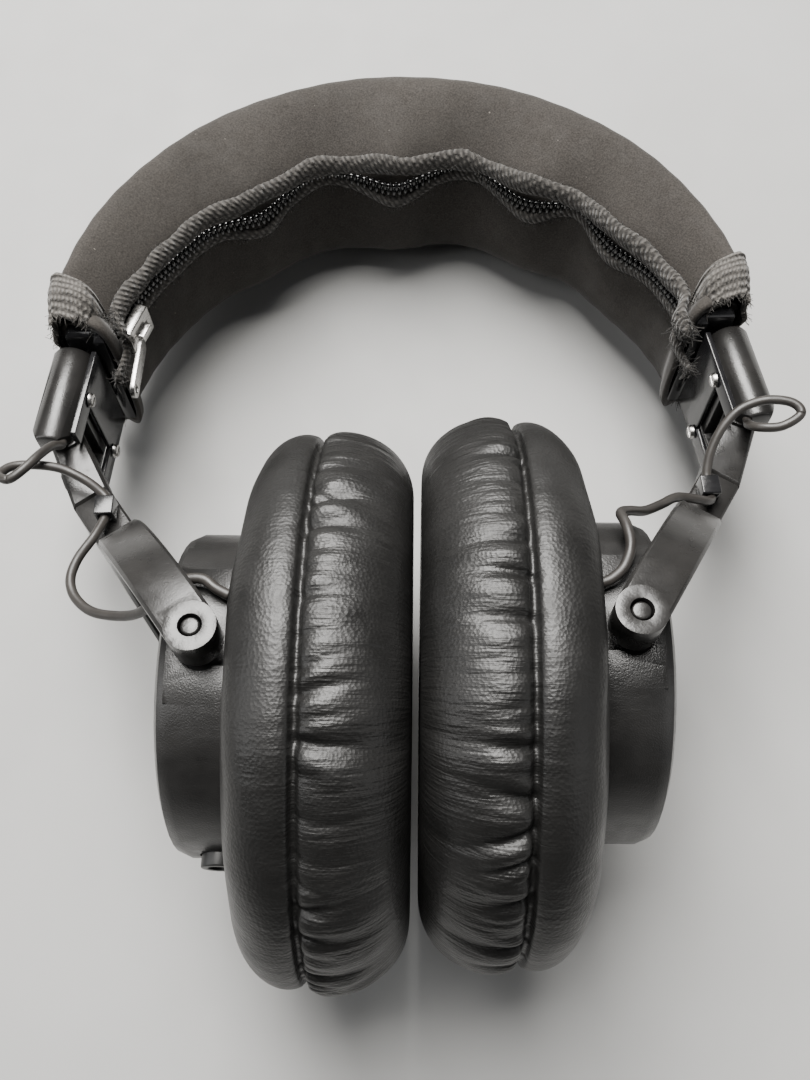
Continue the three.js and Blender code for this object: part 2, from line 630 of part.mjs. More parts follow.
function driverGrille() {
  const { front, back, radius, hole, rings } = GRILLE;
  const plate = turned([[0, front], [radius - 0.6, front], [radius, back], [0, back]]);
  const holes = rings.flatMap(([ringRadius, count]) => Array.from({ length: count }, (_, step) => {
    const angle = 2 * Math.PI * step / count;
    const drill = new THREE.CylinderGeometry(hole, hole, 60, 6).rotateZ(Math.PI / 2);
    return drill.translate(30, ringRadius * Math.cos(angle), ringRadius * Math.sin(angle));
  }));
  return aboutPivot(carve(plate, { cut: holes }));
}

// ---------------------------------------------------------------- assembly

add('spring_band', springBand(), SPRING_STEEL);
add('band_foam', bandFoam(), FOAM_GREY);
add('headband_cover', headbandCover(), NEOPRENE);
add('zipper_tape_upper', innerStrip(ZIP_TAPE_UPPER, ZIP_TAPE_THICKNESS), WOVEN_TAPE);
add('zipper_tape_lower', innerStrip(ZIP_TAPE_LOWER, ZIP_TAPE_THICKNESS), WOVEN_TAPE);
add('zipper_coil', innerStrip(ZIP_COIL, ZIP_COIL_THICKNESS), ZIP_PLASTIC);
add('zipper_slider', zipperSlider(), BRIGHT_STEEL);
add('zipper_pull', zipperPull(), BRIGHT_STEEL);

for (const side of ['left', 'right']) {
  const isLeft = side === 'left';
  const place = (geometry) => (isLeft ? mirrored(geometry) : geometry);

  const fixed = {
    elastic_end: [elasticEnd(), ELASTIC],
    band_end_housing: [bandEndHousing(), GLOSS_PLASTIC],
    slider_rail: [sliderRail(), SPRING_STEEL],
    hinge_block: [hingeBlock(), SATIN_PLASTIC],
    hinge_plate: [hingePlate(), GLOSS_PLASTIC],
    hinge_screw_front: [hingeScrew(HINGE_SCREW.z), BRIGHT_STEEL],
    hinge_screw_rear: [hingeScrew(-HINGE_SCREW.z), BRIGHT_STEEL],
    fold_pin: [foldPin(), SPRING_STEEL],
    neck_knuckle: [neckKnuckle(), SATIN_PLASTIC],
    swivel_pin: [swivelPin(), SPRING_STEEL],
    yoke: [yoke(), SATIN_PLASTIC],
    pivot_pin_front: [pivotPin(1), SATIN_PLASTIC],
    pivot_pin_rear: [pivotPin(-1), SATIN_PLASTIC],
    cable_clip: [cableClip(), GLOSS_PLASTIC],
  };
  for (const [name, [geometry, material]] of Object.entries(fixed)) {
    add(`${name}_${side}`, place(geometry), material);
  }

  const cup = new THREE.Group();
  cup.position.set(isLeft ? -PIVOT.x : PIVOT.x, PIVOT.y, 0);
  cup.rotation.z = CUP_REST_TURN;
  headphones.add(cup);
  const inCup = {
    cup_housing: [cupHousing(isLeft), TEXTURED_PLASTIC],
    cup_cap: [cupCap(), TEXTURED_PLASTIC],
    baffle: [baffle(), SATIN_PLASTIC],
    driver_frame: [driverFrame(), SATIN_PLASTIC],
    driver_magnet: [driverMagnet(), SPRING_STEEL],
    driver_diaphragm: [driverDiaphragm(), DRIVER_FILM],
    driver_grille: [driverGrille(), BLACK_METAL],
    ear_pad: [earPad(), LEATHERETTE],
  };
  for (const [name, [geometry, material]] of Object.entries(inCup)) {
    add(`${name}_${side}`, place(geometry), material, cup);
  }
  if (isLeft) add('cable_socket', place(cableSocket()), BLACK_METAL, cup);
}

add('lead_upper_left', tube(UPPER_LEAD_LEFT, LEAD_RADIUS, 24), LEAD_RUBBER);
add('lead_upper_right', tube(UPPER_LEAD_RIGHT, LEAD_RADIUS, 24), LEAD_RUBBER);
add('lead_lower_left', tube(LOWER_LEAD_LEFT, LEAD_RADIUS, 24), LEAD_RUBBER);
add('lead_lower_right', tube(LOWER_LEAD_RIGHT, LEAD_RADIUS, 24), LEAD_RUBBER);

// lay the object down on its pads and crown, then stand it on z = 0 and centre it
headphones.rotation.x = -RESTING_TILT;
const extent = new THREE.Box3().setFromObject(headphones, true);
const centre = extent.getCenter(new THREE.Vector3());
headphones.position.set(-centre.x, -centre.y, -extent.min.z);

export default headphones;
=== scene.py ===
"""Looks for the folding headphones: padded, zipped, moulded and metal surfaces round the CAD frame.

Lengths are in millimetres unless a comment says otherwise. The row frame is the frame's own, in metres.
"""
import json
import math
import random

import bpy
import numpy as np
from mathutils import Matrix, Vector


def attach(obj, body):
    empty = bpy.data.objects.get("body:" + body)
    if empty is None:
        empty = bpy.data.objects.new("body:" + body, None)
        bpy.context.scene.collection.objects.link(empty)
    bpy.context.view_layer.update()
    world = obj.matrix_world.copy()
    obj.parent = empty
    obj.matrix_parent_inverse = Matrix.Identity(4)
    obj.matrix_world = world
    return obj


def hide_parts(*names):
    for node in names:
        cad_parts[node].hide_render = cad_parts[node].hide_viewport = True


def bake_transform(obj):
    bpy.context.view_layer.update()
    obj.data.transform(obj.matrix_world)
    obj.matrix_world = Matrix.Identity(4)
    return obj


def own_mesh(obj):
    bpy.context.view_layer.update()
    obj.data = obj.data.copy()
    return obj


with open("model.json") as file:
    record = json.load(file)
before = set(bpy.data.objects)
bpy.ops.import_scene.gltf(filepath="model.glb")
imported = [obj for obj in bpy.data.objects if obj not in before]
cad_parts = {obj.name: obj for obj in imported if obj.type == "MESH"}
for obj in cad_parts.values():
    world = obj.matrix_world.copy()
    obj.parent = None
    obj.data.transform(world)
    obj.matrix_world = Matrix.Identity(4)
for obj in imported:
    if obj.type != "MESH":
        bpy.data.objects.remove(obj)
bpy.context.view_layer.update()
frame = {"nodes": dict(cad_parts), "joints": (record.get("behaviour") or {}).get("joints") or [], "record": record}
joints = {joint["name"]: joint for joint in frame["joints"]}

# ------------------------------------------------------------ the headphones' own frame
# x from the left cup to the right cup, y up to the crown, z out of the band's plane, in millimetres

MM = 0.001                             # one millimetre, in metres
TILT = math.radians(10.25)             # lean of the whole object as it lies
CROWN_HINGE = Vector((0, 0.14245, 0))  # where band_flex sits, in metres
PIVOT = (35.9, -4.6)                   # cup pivots, mirrored on the left
CUP_TURN = math.radians(-2.8)          # both cups sit turned a little in their yokes

lean = Matrix.Rotation(-TILT, 4, "X")
offset = Vector(joints["band_flex"]["pos_m"]) - lean @ CROWN_HINGE
TO_ROW = Matrix.Translation(offset) @ lean @ Matrix.Scale(MM, 4)
SIDES = {"left": -1, "right": 1}


def row(x, y, z=0.0):
    """A point of the headphones' frame, in the row frame, in metres."""
    return TO_ROW @ Vector((x, y, z))


def side_matrix(k):
    """Places a piece drawn for the right side on side k."""
    return TO_ROW @ Matrix.Diagonal((k, 1, 1, 1))


def cup_matrix(k):
    """Places a piece drawn for the right cup, before it is turned in its yoke, on side k."""
    out = Matrix.Translation((k * PIVOT[0], PIVOT[1], 0)) @ Matrix.Rotation(CUP_TURN, 4, "Z")
    back = Matrix.Translation((-PIVOT[0], -PIVOT[1], 0))
    return TO_ROW @ out @ Matrix.Diagonal((k, 1, 1, 1)) @ back


def to_local(matrix, points):
    """Points of the row frame, seen in a piece's own frame."""
    return (np.linalg.inv(np.array(matrix)) @ np.c_[points, np.ones(len(points))].T)[:3].T


def to_row(matrix, points):
    """Points of a piece's own frame, placed in the row frame."""
    return np.asarray(points, float) @ np.array(matrix.to_3x3()).T + np.array(matrix.translation)


# ------------------------------------------------------------ mesh helpers

def grid_faces(rows, columns, wrap_rows=False, start=0):
    """Quads over a grid of points stored row by row, closed round each row."""
    faces = []
    for r in range(rows if wrap_rows else rows - 1):
        for c in range(columns):
            r2, c2 = (r + 1) % rows, (c + 1) % columns
            faces.append((start + r * columns + c, start + r * columns + c2,
                          start + r2 * columns + c2, start + r2 * columns + c))
    return faces


def tip_faces(columns, last, tip):
    """Triangles from the first ring to the point tip, and from the ring at last to the point after it."""
    faces = []
    for c in range(columns):
        c2 = (c + 1) % columns
        faces.append((c2, c, tip))
        faces.append((last + c, last + c2, tip + 1))
    return faces


def smooth_faces(mesh):
    mesh.polygons.foreach_set("use_smooth", [True] * len(mesh.polygons))


def new_piece(name, points, faces, matrix, material):
    """A mesh object in the row frame, with its faces pointing outwards."""
    mesh = bpy.data.meshes.new(name)
    mesh.from_pydata(to_row(matrix, points).tolist(), [], faces)
    mesh.validate()
    piece = bpy.data.objects.new(name, mesh)
    bpy.context.scene.collection.objects.link(piece)
    if signed_volume(mesh) < 0:
        mesh.flip_normals()
    smooth_faces(mesh)
    mesh.materials.append(material)
    return piece


def coordinates(mesh):
    """Every vertex's place, one row each."""
    co = np.zeros(len(mesh.vertices) * 3)
    mesh.vertices.foreach_get("co", co)
    return co.reshape(-1, 3)


def normals(mesh):
    """Every vertex's normal, one row each."""
    out = np.zeros(len(mesh.vertices) * 3)
    mesh.vertex_normals.foreach_get("vector", out)
    return out.reshape(-1, 3)


def set_coordinates(mesh, co):
    mesh.vertices.foreach_set("co", np.asarray(co, float).ravel())
    mesh.update()


def signed_volume(mesh):
    """The volume a closed mesh holds, below zero when its faces point inwards."""
    mesh.calc_loop_triangles()
    co = coordinates(mesh)
    tri = np.zeros(len(mesh.loop_triangles) * 3, int)
    mesh.loop_triangles.foreach_get("vertices", tri)
    a, b, c = (co[tri.reshape(-1, 3)[:, k]] for k in range(3))
    return float(np.einsum("ij,ij->i", a, np.cross(b, c)).sum() / 6)


def apply_modifiers(piece):
    """Replaces the piece's mesh by what its modifiers make of it."""
    bpy.context.view_layer.update()
    evaluated = piece.evaluated_get(bpy.context.evaluated_depsgraph_get())
    mesh = bpy.data.meshes.new_from_object(evaluated)
    piece.modifiers.clear()
    piece.data = mesh
    return mesh


def subdivide(piece, levels):
    """Rounds the piece's mesh by Catmull-Clark subdivision."""
    modifier = piece.modifiers.new("smooth", "SUBSURF")
    modifier.levels = modifier.render_levels = levels
    return apply_modifiers(piece)


def smooth_path(points, samples):
    """Catmull-Rom through the points, and the unit tangent at each sample."""
    p = np.array(points, float)
    p = np.vstack([2 * p[0] - p[1], p, 2 * p[-1] - p[-2]])
    spans = len(p) - 3
    out = []
    for value in np.linspace(0, spans, samples):
        i = min(int(value), spans - 1)
        t = value - i
        a, b, c, d = p[i:i + 4]
        out.append(0.5 * (2 * b + (c - a) * t + (2 * a - 5 * b + 4 * c - d) * t * t
                          + (3 * b - a - 3 * c + d) * t ** 3))
    out = np.array(out)
    return out, unit_tangents(out)


def unit_tangents(path):
    tangents = np.gradient(path, axis=0)
    return tangents / np.linalg.norm(tangents, axis=1, keepdims=True)


def tube_points(path, tangents, radius, sides):
    """Rings along a path, with a frame that doesn't twist, and a point to close each end."""
    side = np.cross(tangents[0], (0.0, 0.0, 1.0) if abs(tangents[0][2]) < 0.9 else (1.0, 0.0, 0.0))
    rings = []
    angles = np.linspace(0, 2 * math.pi, sides, endpoint=False)
    radii = np.broadcast_to(radius, len(path))
    for place, along, size in zip(path, tangents, radii):
        side = side - along * (side @ along)
        side = side / np.linalg.norm(side)
        up = np.cross(along, side)
        rings.append(place + size * (np.outer(np.cos(angles), side) + np.outer(np.sin(angles), up)))
    points = np.vstack(rings + [path[:1], path[-1:]])
    return points, grid_faces(len(path), sides) + tip_faces(sides, (len(path) - 1) * sides, len(path) * sides)


def joined(parts):
    """One list of points and faces from several."""
    points, faces, count = [], [], 0
    for some, quads in parts:
        points.append(np.asarray(some))
        faces += [tuple(count + i for i in quad) for quad in quads]
        count += len(some)
    return np.vstack(points), faces


def smoothstep(value, low, high):
    """0 below low, 1 above high, and a smooth climb between them."""
    t = np.clip((value - low) / (high - low), 0, 1)
    return t * t * (3 - 2 * t)


def set_uv(piece, uv_of):
    """Gives each corner a UV in metres from its place, keeping each face on one side of a wrap."""
    mesh = piece.data
    layer = mesh.uv_layers.new(name="UVMap")
    u, v, period_u, period_v = uv_of(coordinates(mesh))
    corners = np.zeros(len(mesh.loops), int)
    mesh.loops.foreach_get("vertex_index", corners)
    totals = np.zeros(len(mesh.polygons), int)
    mesh.polygons.foreach_get("loop_total", totals)
    first = np.repeat(np.concatenate([[0], np.cumsum(totals)[:-1]]), totals)
    out = []
    for values, period in ((u, period_u), (v, period_v)):
        each = values[corners]
        if period:
            base = each[first]
            each = each - period * np.round((each - base) / period)
        out.append(each)
    layer.data.foreach_set("uv", np.stack(out, 1).ravel())


# ------------------------------------------------------------ materials

WAVE_OF_SCALE_ONE = 2 * math.pi / 20   # the length of one band of Blender's wave texture at scale 1
WORN_LOW, WORN_HIGH = 0.3, 0.7         # where a noise is taken as fully low and fully high


class Paint:
    """A node material on one Principled shader. Scales are in features per metre, periods in metres."""

    def __init__(self, name, **sockets):
        self.material = bpy.data.materials.new(name)
        self.material.use_nodes = True
        self.tree = self.material.node_tree
        self.shader = self.tree.nodes["Principled BSDF"]
        for socket, value in sockets.items():
            self.shader.inputs[socket.replace("_", " ")].default_value = value
        self.place = self.tree.nodes.new("ShaderNodeTexCoord")
        self.normal = None

    def link(self, source, target):
        self.tree.links.new(source, target)

    def vector(self, kind="Object", scale=(1, 1, 1), rotation=(0, 0, 0)):
        mapping = self.tree.nodes.new("ShaderNodeMapping")
        mapping.inputs["Scale"].default_value = scale
        mapping.inputs["Rotation"].default_value = rotation
        self.link(self.place.outputs[kind], mapping.inputs["Vector"])
        return mapping.outputs["Vector"]

    def noise(self, scale, kind="Object", stretch=(1, 1, 1), detail=3, distortion=0.0, rotation=(0, 0, 0)):
        node = self.tree.nodes.new("ShaderNodeTexNoise")
        node.inputs["Scale"].default_value = scale
        node.inputs["Detail"].default_value = detail
        node.inputs["Distortion"].default_value = distortion
        self.link(self.vector(kind, stretch, rotation), node.inputs["Vector"])
        return node.outputs["Fac"]

    def cells(self, scale):
        node = self.tree.nodes.new("ShaderNodeTexVoronoi")
        node.inputs["Scale"].default_value = scale
        self.link(self.vector(), node.inputs["Vector"])
        return node.outputs["Distance"]

    def attribute(self, name):
        node = self.tree.nodes.new("ShaderNodeAttribute")
        node.attribute_name = name
        return node.outputs["Fac"]

    def waves(self, period, kind="UV", direction="X", distortion=0.0, rotation=(0, 0, 0)):
        """Even bands, one each period."""
        node = self.tree.nodes.new("ShaderNodeTexWave")
        node.bands_direction = direction
        node.inputs["Scale"].default_value = WAVE_OF_SCALE_ONE / period
        node.inputs["Distortion"].default_value = distortion
        self.link(self.vector(kind, rotation=rotation), node.inputs["Vector"])
        return node.outputs["Fac"]

    def ramp(self, source, *stops):
        """A colour ramp from pairs of a place and a grey or a colour."""
        node = self.tree.nodes.new("ShaderNodeValToRGB")
        ramp = node.color_ramp
        while len(ramp.elements) < len(stops):
            ramp.elements.new(0.5)
        for element, (place, value) in zip(ramp.elements, stops):
            element.position = place
            element.color = (*value, 1) if isinstance(value, tuple) else (value, value, value, 1)
        self.link(source, node.inputs["Fac"])
        return node.outputs["Color"]

    def mix(self, how, a, b, amount=1.0):
        """Two sources, or a source and a colour, mixed by an amount or by a third source."""
        node = self.tree.nodes.new("ShaderNodeMix")
        node.data_type = "RGBA"
        node.blend_type = how
        if isinstance(amount, float):
            node.inputs[0].default_value = amount
        else:
            self.link(amount, node.inputs[0])
        for source, socket in ((a, node.inputs[6]), (b, node.inputs[7])):
            if isinstance(source, tuple):
                socket.default_value = (*source, 1)
            else:
                self.link(source, socket)
        return node.outputs[2]

    def colour(self, source):
        self.link(source, self.shader.inputs["Base Color"])

    def roughness(self, source, low, high):
        self.link(self.ramp(source, (WORN_LOW, low), (WORN_HIGH, high)), self.shader.inputs["Roughness"])

    def mottled(self, scale, dark, light, detail=3):
        """The base colour, uneven between two tones."""
        self.colour(self.ramp(self.noise(scale, detail=detail), (WORN_LOW, dark), (WORN_HIGH, light)))

    def bump(self, height, strength, depth):
        """Adds a layer of relief, depth in metres."""
        node = self.tree.nodes.new("ShaderNodeBump")
        node.inputs["Strength"].default_value = strength
        node.inputs["Distance"].default_value = depth
        self.link(height, node.inputs["Height"])
        if self.normal is not None:
            self.link(self.normal, node.inputs["Normal"])
        self.normal = node.outputs["Normal"]
        self.link(self.normal, self.shader.inputs["Normal"])


def leatherette():
    """Thin black leatherette: fine wrinkles along the turn, stronger where the seam gathers it, and pebbles."""
    paint = Paint("leatherette", Specular_IOR_Level=0.42)
    blotches = paint.noise(60)
    paint.colour(paint.ramp(blotches, (0.3, (0.005, 0.0049, 0.0047)), (0.75, (0.010, 0.0097, 0.0093))))
    paint.roughness(paint.noise(180), 0.38, 0.49)
    folds = paint.noise(1.0, kind="UV", stretch=(300, 50, 1), detail=2, distortion=0.3)
    paint.bump(folds, 0.3, 0.0006)
    wrinkles = paint.noise(1.0, kind="UV", stretch=(1500, 140, 1), detail=2, distortion=0.35)
    gathered = paint.attribute("gathered")
    strength = paint.ramp(gathered, (0.0, 0.3), (1.0, 1.0))
    paint.bump(paint.mix("MULTIPLY", wrinkles, strength), 0.6, 0.00032)
    paint.bump(paint.cells(1700), 0.45, 0.00012)
    return paint.material


def neoprene():
    """Faded neoprene with a short nap and a few pale specks of dust."""
    paint = Paint("neoprene", Sheen_Weight=0.14, Sheen_Roughness=0.4, Specular_IOR_Level=0.2)
    nap = paint.noise(2600, detail=4)
    base = paint.ramp(nap, (0.3, (0.022, 0.0197, 0.0175)), (0.7, (0.048, 0.0432, 0.0385)))
    blotches = paint.ramp(paint.noise(45), (0.3, 0.8), (0.7, 1.0))
    tinted = paint.mix("MULTIPLY", base, blotches)
    dust = paint.ramp(paint.noise(900, detail=2), (0.765, 0.0), (0.80, 1.0))
    paint.colour(paint.mix("MIX", tinted, (0.13, 0.12, 0.105), dust))
    paint.roughness(paint.noise(300), 0.78, 0.92)
    paint.bump(nap, 0.4, 0.0002)
    paint.bump(paint.noise(120), 0.2, 0.001)
    return paint.material


def woven(name, dark, light, rib, across, lean_of_ribs):
    """Coarse woven tape: ribs along it, threads across it, in metres, and fuzzy colour."""
    paint = Paint(name, Sheen_Weight=0.15, Sheen_Roughness=0.5, Specular_IOR_Level=0.2)
    ribs = paint.waves(rib, direction="X", distortion=1.5, rotation=(0, 0, lean_of_ribs))
    threads = paint.waves(across, direction="Y", distortion=1.0, rotation=(0, 0, lean_of_ribs))
    weave = paint.mix("MULTIPLY", ribs, threads, 0.7)
    fuzz = paint.noise(1500, detail=4)
    both = paint.mix("MIX", weave, fuzz, 0.55)
    paint.colour(paint.ramp(both, (0.15, dark), (0.6, light)))
    paint.roughness(fuzz, 0.85, 0.98)
    paint.bump(weave, 0.8, 0.0006)
    paint.bump(fuzz, 0.6, 0.0004)
    return paint.material


def moulded(name, dark, light, smooth, rough, grain, grain_depth):
    """Moulded plastic: grain, uneven gloss, and light scratches."""
    paint = Paint(name, Specular_IOR_Level=0.5)
    paint.mottled(140, dark, light, detail=4)
    worn = paint.noise(240, detail=5)
    streaks = paint.noise(500, stretch=(1, 3, 2), rotation=(0.4, 0.7, 0.5), detail=4)
    paint.roughness(paint.mix("MIX", worn, streaks, 0.35), smooth, rough)
    paint.bump(paint.noise(grain, detail=2), 0.5, grain_depth)
    paint.bump(paint.ramp(streaks, (0.70, 0.0), (0.74, 1.0)), 0.15, 0.00008)
    return paint.material


def metal(name, colour, smooth, rough, stretch):
    """Bare metal, brushed along the stretch."""
    paint = Paint(name, Metallic=1.0)
    paint.mottled(200, tuple(0.8 * c for c in colour), colour)
    brushed = paint.noise(900, stretch=stretch, detail=3)
    paint.roughness(brushed, smooth, rough)
    paint.bump(brushed, 0.2, 0.00006)
    return paint.material


def rubber_lead():
    """The dull rubber jacket of the leads."""
    paint = Paint("lead_rubber", Specular_IOR_Level=0.5)
    paint.mottled(180, (0.018, 0.0162, 0.015), (0.034, 0.031, 0.028))
    paint.roughness(paint.noise(400), 0.36, 0.5)
    paint.bump(paint.noise(1400), 0.25, 0.0001)
    return paint.material


def foam():
    """Open-celled grey foam."""
    paint = Paint("foam", Specular_IOR_Level=0.1)
    pores = paint.cells(900)
    paint.colour(paint.ramp(pores, (0.1, (0.02, 0.02, 0.02)), (0.7, (0.09, 0.09, 0.09))))
    paint.roughness(pores, 0.9, 1.0)
    paint.bump(pores, 0.8, 0.0006)
    return paint.material


def pale_floor():
    """A plain pale table top."""
    paint = Paint("pale_floor", Specular_IOR_Level=0.3)
    paint.mottled(30, (0.35, 0.35, 0.345), (0.375, 0.375, 0.37))
    paint.roughness(paint.noise(80), 0.6, 0.75)
    paint.bump(paint.noise(900), 0.1, 0.0001)
    return paint.material


# name: darkest and lightest colour, smoothest and roughest gloss, grain per metre, grain depth in metres
MOULDED = {
    "zip_plastic": ((0.004, 0.004, 0.004), (0.01, 0.01, 0.01), 0.12, 0.25, 900, 0.00003),
    "satin_plastic": ((0.010, 0.0097, 0.0094), (0.018, 0.0172, 0.0165), 0.24, 0.35, 2600, 0.00005),
    "gloss_plastic": ((0.006, 0.006, 0.0065), (0.011, 0.011, 0.012), 0.14, 0.28, 1200, 0.00003),
    "textured_plastic": ((0.009, 0.0088, 0.0086), (0.017, 0.0165, 0.016), 0.26, 0.44, 3800, 0.00012),
    "black_metal": ((0.01, 0.01, 0.01), (0.02, 0.02, 0.02), 0.35, 0.5, 1800, 0.00004),
    "driver_film": ((0.35, 0.31, 0.24), (0.45, 0.40, 0.32), 0.3, 0.5, 900, 0.00005),
}
MATERIALS = {
    "leatherette": leatherette(),
    "neoprene": neoprene(),
    "woven_tape": woven("woven_tape", (0.009, 0.0085, 0.008), (0.075, 0.070, 0.064), 0.0011, 0.0017, 0.6),
    "elastic": woven("elastic", (0.014, 0.013, 0.012), (0.135, 0.126, 0.115), 0.0014, 0.0009, 0.0),
    "bright_steel": metal("bright_steel", (0.46, 0.45, 0.435), 0.2, 0.38, (1, 1, 6)),
    "spring_steel": metal("spring_steel", (0.50, 0.50, 0.51), 0.25, 0.42, (8, 1, 1)),
    "lead_rubber": rubber_lead(),
    "foam": foam(),
}
MATERIALS.update((name, moulded(name, *look)) for name, look in MOULDED.items())
BAND_BEND = (45, 140)  # the headband's bend ends here on the right, and begins at its mirror image on the left
slot_of = {entry["node"]: entry["material_slot"] for entry in frame["record"]["subparts"]}


def declare(nodes):
    """Hides the CAD nodes a piece stands for, if any."""
    if nodes:
        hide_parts(*nodes)


def finish_piece(piece, body, slot, *nodes):
    """Rides a piece on its body."""
    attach(piece, body)
    declare(nodes)


def finish_blend(piece, bodies, start, end, slot, *nodes):
    """Bakes a piece's placement into its mesh and hides its CAD nodes; the bodies and the two points are not used.
    """
    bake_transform(piece)
    declare(nodes)


def finish_on_band(piece, slot, *nodes):
    """Finishes a piece that lies along the headband: bakes its placement and hides its CAD nodes."""
    x, y = BAND_BEND
    finish_blend(piece, ("headband", "band_right"), row(-x, y), row(x, y), slot, *nodes)


# ------------------------------------------------------------ camera

# the turn and the origin of the headphones' frame, as the camera sees them
CAMERA_TURN = [math.radians(angle) for angle in (-27.197, 0.619, 1.941)]
CAMERA_SHIFT = Vector((1.899, -26.081, -195.380))
SENSOR = 36                # the longer side of the image, on the sensor
FOCAL_SHARE = 1000 / 1080  # the focal length over the image's longer side


def add_camera():
    """The photograph's camera."""
    x, y, z = CAMERA_TURN
    seen = Matrix.Rotation(z, 4, "Z") @ Matrix.Rotation(y, 4, "Y") @ Matrix.Rotation(x, 4, "X")
    seen.translation = CAMERA_SHIFT
    camera = bpy.data.objects.new("camera", bpy.data.cameras.new("camera"))
    camera.data.lens = FOCAL_SHARE * SENSOR
    camera.data.sensor_width = SENSOR
    camera.data.clip_start = 0.01
    bpy.context.scene.collection.objects.link(camera)
    where = TO_ROW @ seen.inverted()
    place, turn, _ = where.decompose()
    camera.matrix_world = Matrix.LocRotScale(place, turn, None)
    bpy.context.scene.camera = camera


add_camera()

# ------------------------------------------------------------ headband cover

COVER_OUTER = {"y": 75.2, "radius": 76.7, "end": math.radians(3)}
COVER_INNER = {"y": 58.5, "radius": 67.0, "end": math.radians(12.5)}
COVER_HALF = 20.0     # half its width, out of the band's plane
COVER_WALL = 2.9
COVER_ROWS, COVER_COLUMNS = 240, 88
COVER_POWER = 0.55    # below 1, the section is squarer than an ellipse
ZIP_SLOPE = 0.34      # how much the front face falls towards the zip, over its half width
FULLNESS = 1.2        # how far the faces bulge between the inner and the outer curve
PUCKER_DRAW = 1.1     # how far a pucker draws the front face down, over the pucker's own height
RIPPLE = 0.14
CUFFED = (-0.036, -0.004)  # minus the share of the arch from each end, where the cuffs draw the sleeve in
# there it is thinner, its front is flatter near the zip, and its outer side is narrower, by these shares
CUFF_DRAW = {"thinner": 0.08, "flatter": 0.3, "narrower": 0.24}
# past the band's ends the inner wall is thinner, and hangs a little towards the arch
HEM = {"from": math.radians(19), "to": math.radians(14), "draw": 3.2, "wall": 1.1}
# where the zipped seam is drawn tight (positive) and where it puffs in towards the arch (negative):
# angle along the arch in degrees, height in millimetres, spread in degrees
PUCKERS = [(121, -2.6, 7), (105, 1.4, 7), (90, -3.1, 7), (76, 2.0, 7), (61, -1.9, 7), (51, 1.5, 5),
           (38, -1.3, 7), (142, -0.5, 8)]


def pucker(angle):
    """How far the zipped edge stands out from the arch, in millimetres, at an angle in radians."""
    degrees = np.degrees(angle)
    return sum(height * np.exp(-((degrees - centre) / spread) ** 2) for centre, height, spread in PUCKERS)


def squared(value, power):
    """A sine or cosine, with its sign, raised to a power to square a section's corners."""
    return np.sign(value) * np.abs(value) ** power


def hem(angle):
    """0 along the arch and 1 past either end of the band."""
    from_end = np.minimum(angle, math.pi - angle)
    return smoothstep(-from_end, -HEM["from"], -HEM["to"])


def cover_skin(rows, columns, inset):
    """Points round the sleeve's section, at many places along the arch.

    Inset 0 is the outer face, with its puckers and ripples. Any other inset is the plain inner face.
    """
    t = np.linspace(0, 1, rows)[:, None]
    outer_angle = math.pi - COVER_OUTER["end"] - t * (math.pi - 2 * COVER_OUTER["end"])
    inner_angle = math.pi - COVER_INNER["end"] - t * (math.pi - 2 * COVER_INNER["end"])
    past = hem(inner_angle)
    outer_r = COVER_OUTER["radius"] - inset
    inner_r = COVER_INNER["radius"] - HEM["draw"] * past
    if inset:
        inner_r = inner_r + COVER_WALL + (HEM["wall"] - COVER_WALL) * past
    ox, oy = outer_r * np.cos(outer_angle), COVER_OUTER["y"] + outer_r * np.sin(outer_angle)
    around = np.linspace(0, 2 * math.pi, columns, endpoint=False)[None, :]
    c, s = np.cos(around), np.sin(around)
    across = squared(s, COVER_POWER)    # -1 at the inner curve, 1 at the outer
    depth = squared(c, COVER_POWER)     # -1 behind, 1 in front
    front = smoothstep(depth, 0.1, 0.9)
    near_zip = smoothstep(-across, -0.6, 0.9)
    wave = pucker(inner_angle)
    if not inset:
        inner_r = inner_r + wave * smoothstep(-across, -0.1, 0.9) * (0.88 + 0.12 * depth)
    ix, iy = inner_r * np.cos(inner_angle), COVER_INNER["y"] + inner_r * np.sin(inner_angle)
    share = (across + 1) / 2
    cuffed = smoothstep(-np.minimum(t, 1 - t), *CUFFED)
    share = share * (1 - CUFF_DRAW["thinner"] * cuffed)
    x, y = ix + (ox - ix) * share, iy + (oy - iy) * share
    slope = (ZIP_SLOPE - CUFF_DRAW["flatter"] * cuffed) * front * near_zip
    slope = slope + CUFF_DRAW["narrower"] * cuffed * (1 - near_zip)
    z = depth * (COVER_HALF - inset) * (1 - slope)
    if not inset:
        z = z + np.sign(depth) * FULLNESS * (1 - across ** 2) * np.abs(depth) * (1 - cuffed)
        z = z - PUCKER_DRAW * wave * near_zip * front * (1 - past)
        ripple = RIPPLE * np.sin(inner_angle * 37 + 3 * depth) * np.sin(inner_angle * 23 + 1.3)
        x, y = x + ripple * np.cos(outer_angle), y + ripple * np.sin(outer_angle)
    return np.stack([x, y, z], -1).reshape(-1, 3)


def add_cover():
    """The padded sleeve, open at both ends."""
    rows, columns = COVER_ROWS, COVER_COLUMNS
    outside, inside = cover_skin(rows, columns, 0.0), cover_skin(rows, columns, COVER_WALL)
    count = rows * columns
    faces = grid_faces(rows, columns)
    faces += [tuple(reversed(face)) for face in grid_faces(rows, columns, start=count)]
    last = count - columns
    for c in range(columns):
        c2 = (c + 1) % columns
        faces.append((c2, c, count + c, count + c2))
        faces.append((last + c, last + c2, count + last + c2, count + last + c))
    cover = new_piece("cover", np.vstack([outside, inside]), faces, TO_ROW, MATERIALS["neoprene"])
    finish_on_band(cover, "neoprene", "headband_cover")


def arch_points(angle, radius, z):
    """Points at an angle, a radius and a height over the band's inner curve."""
    return np.stack([radius * np.cos(angle), COVER_INNER["y"] + radius * np.sin(angle), z], -1)


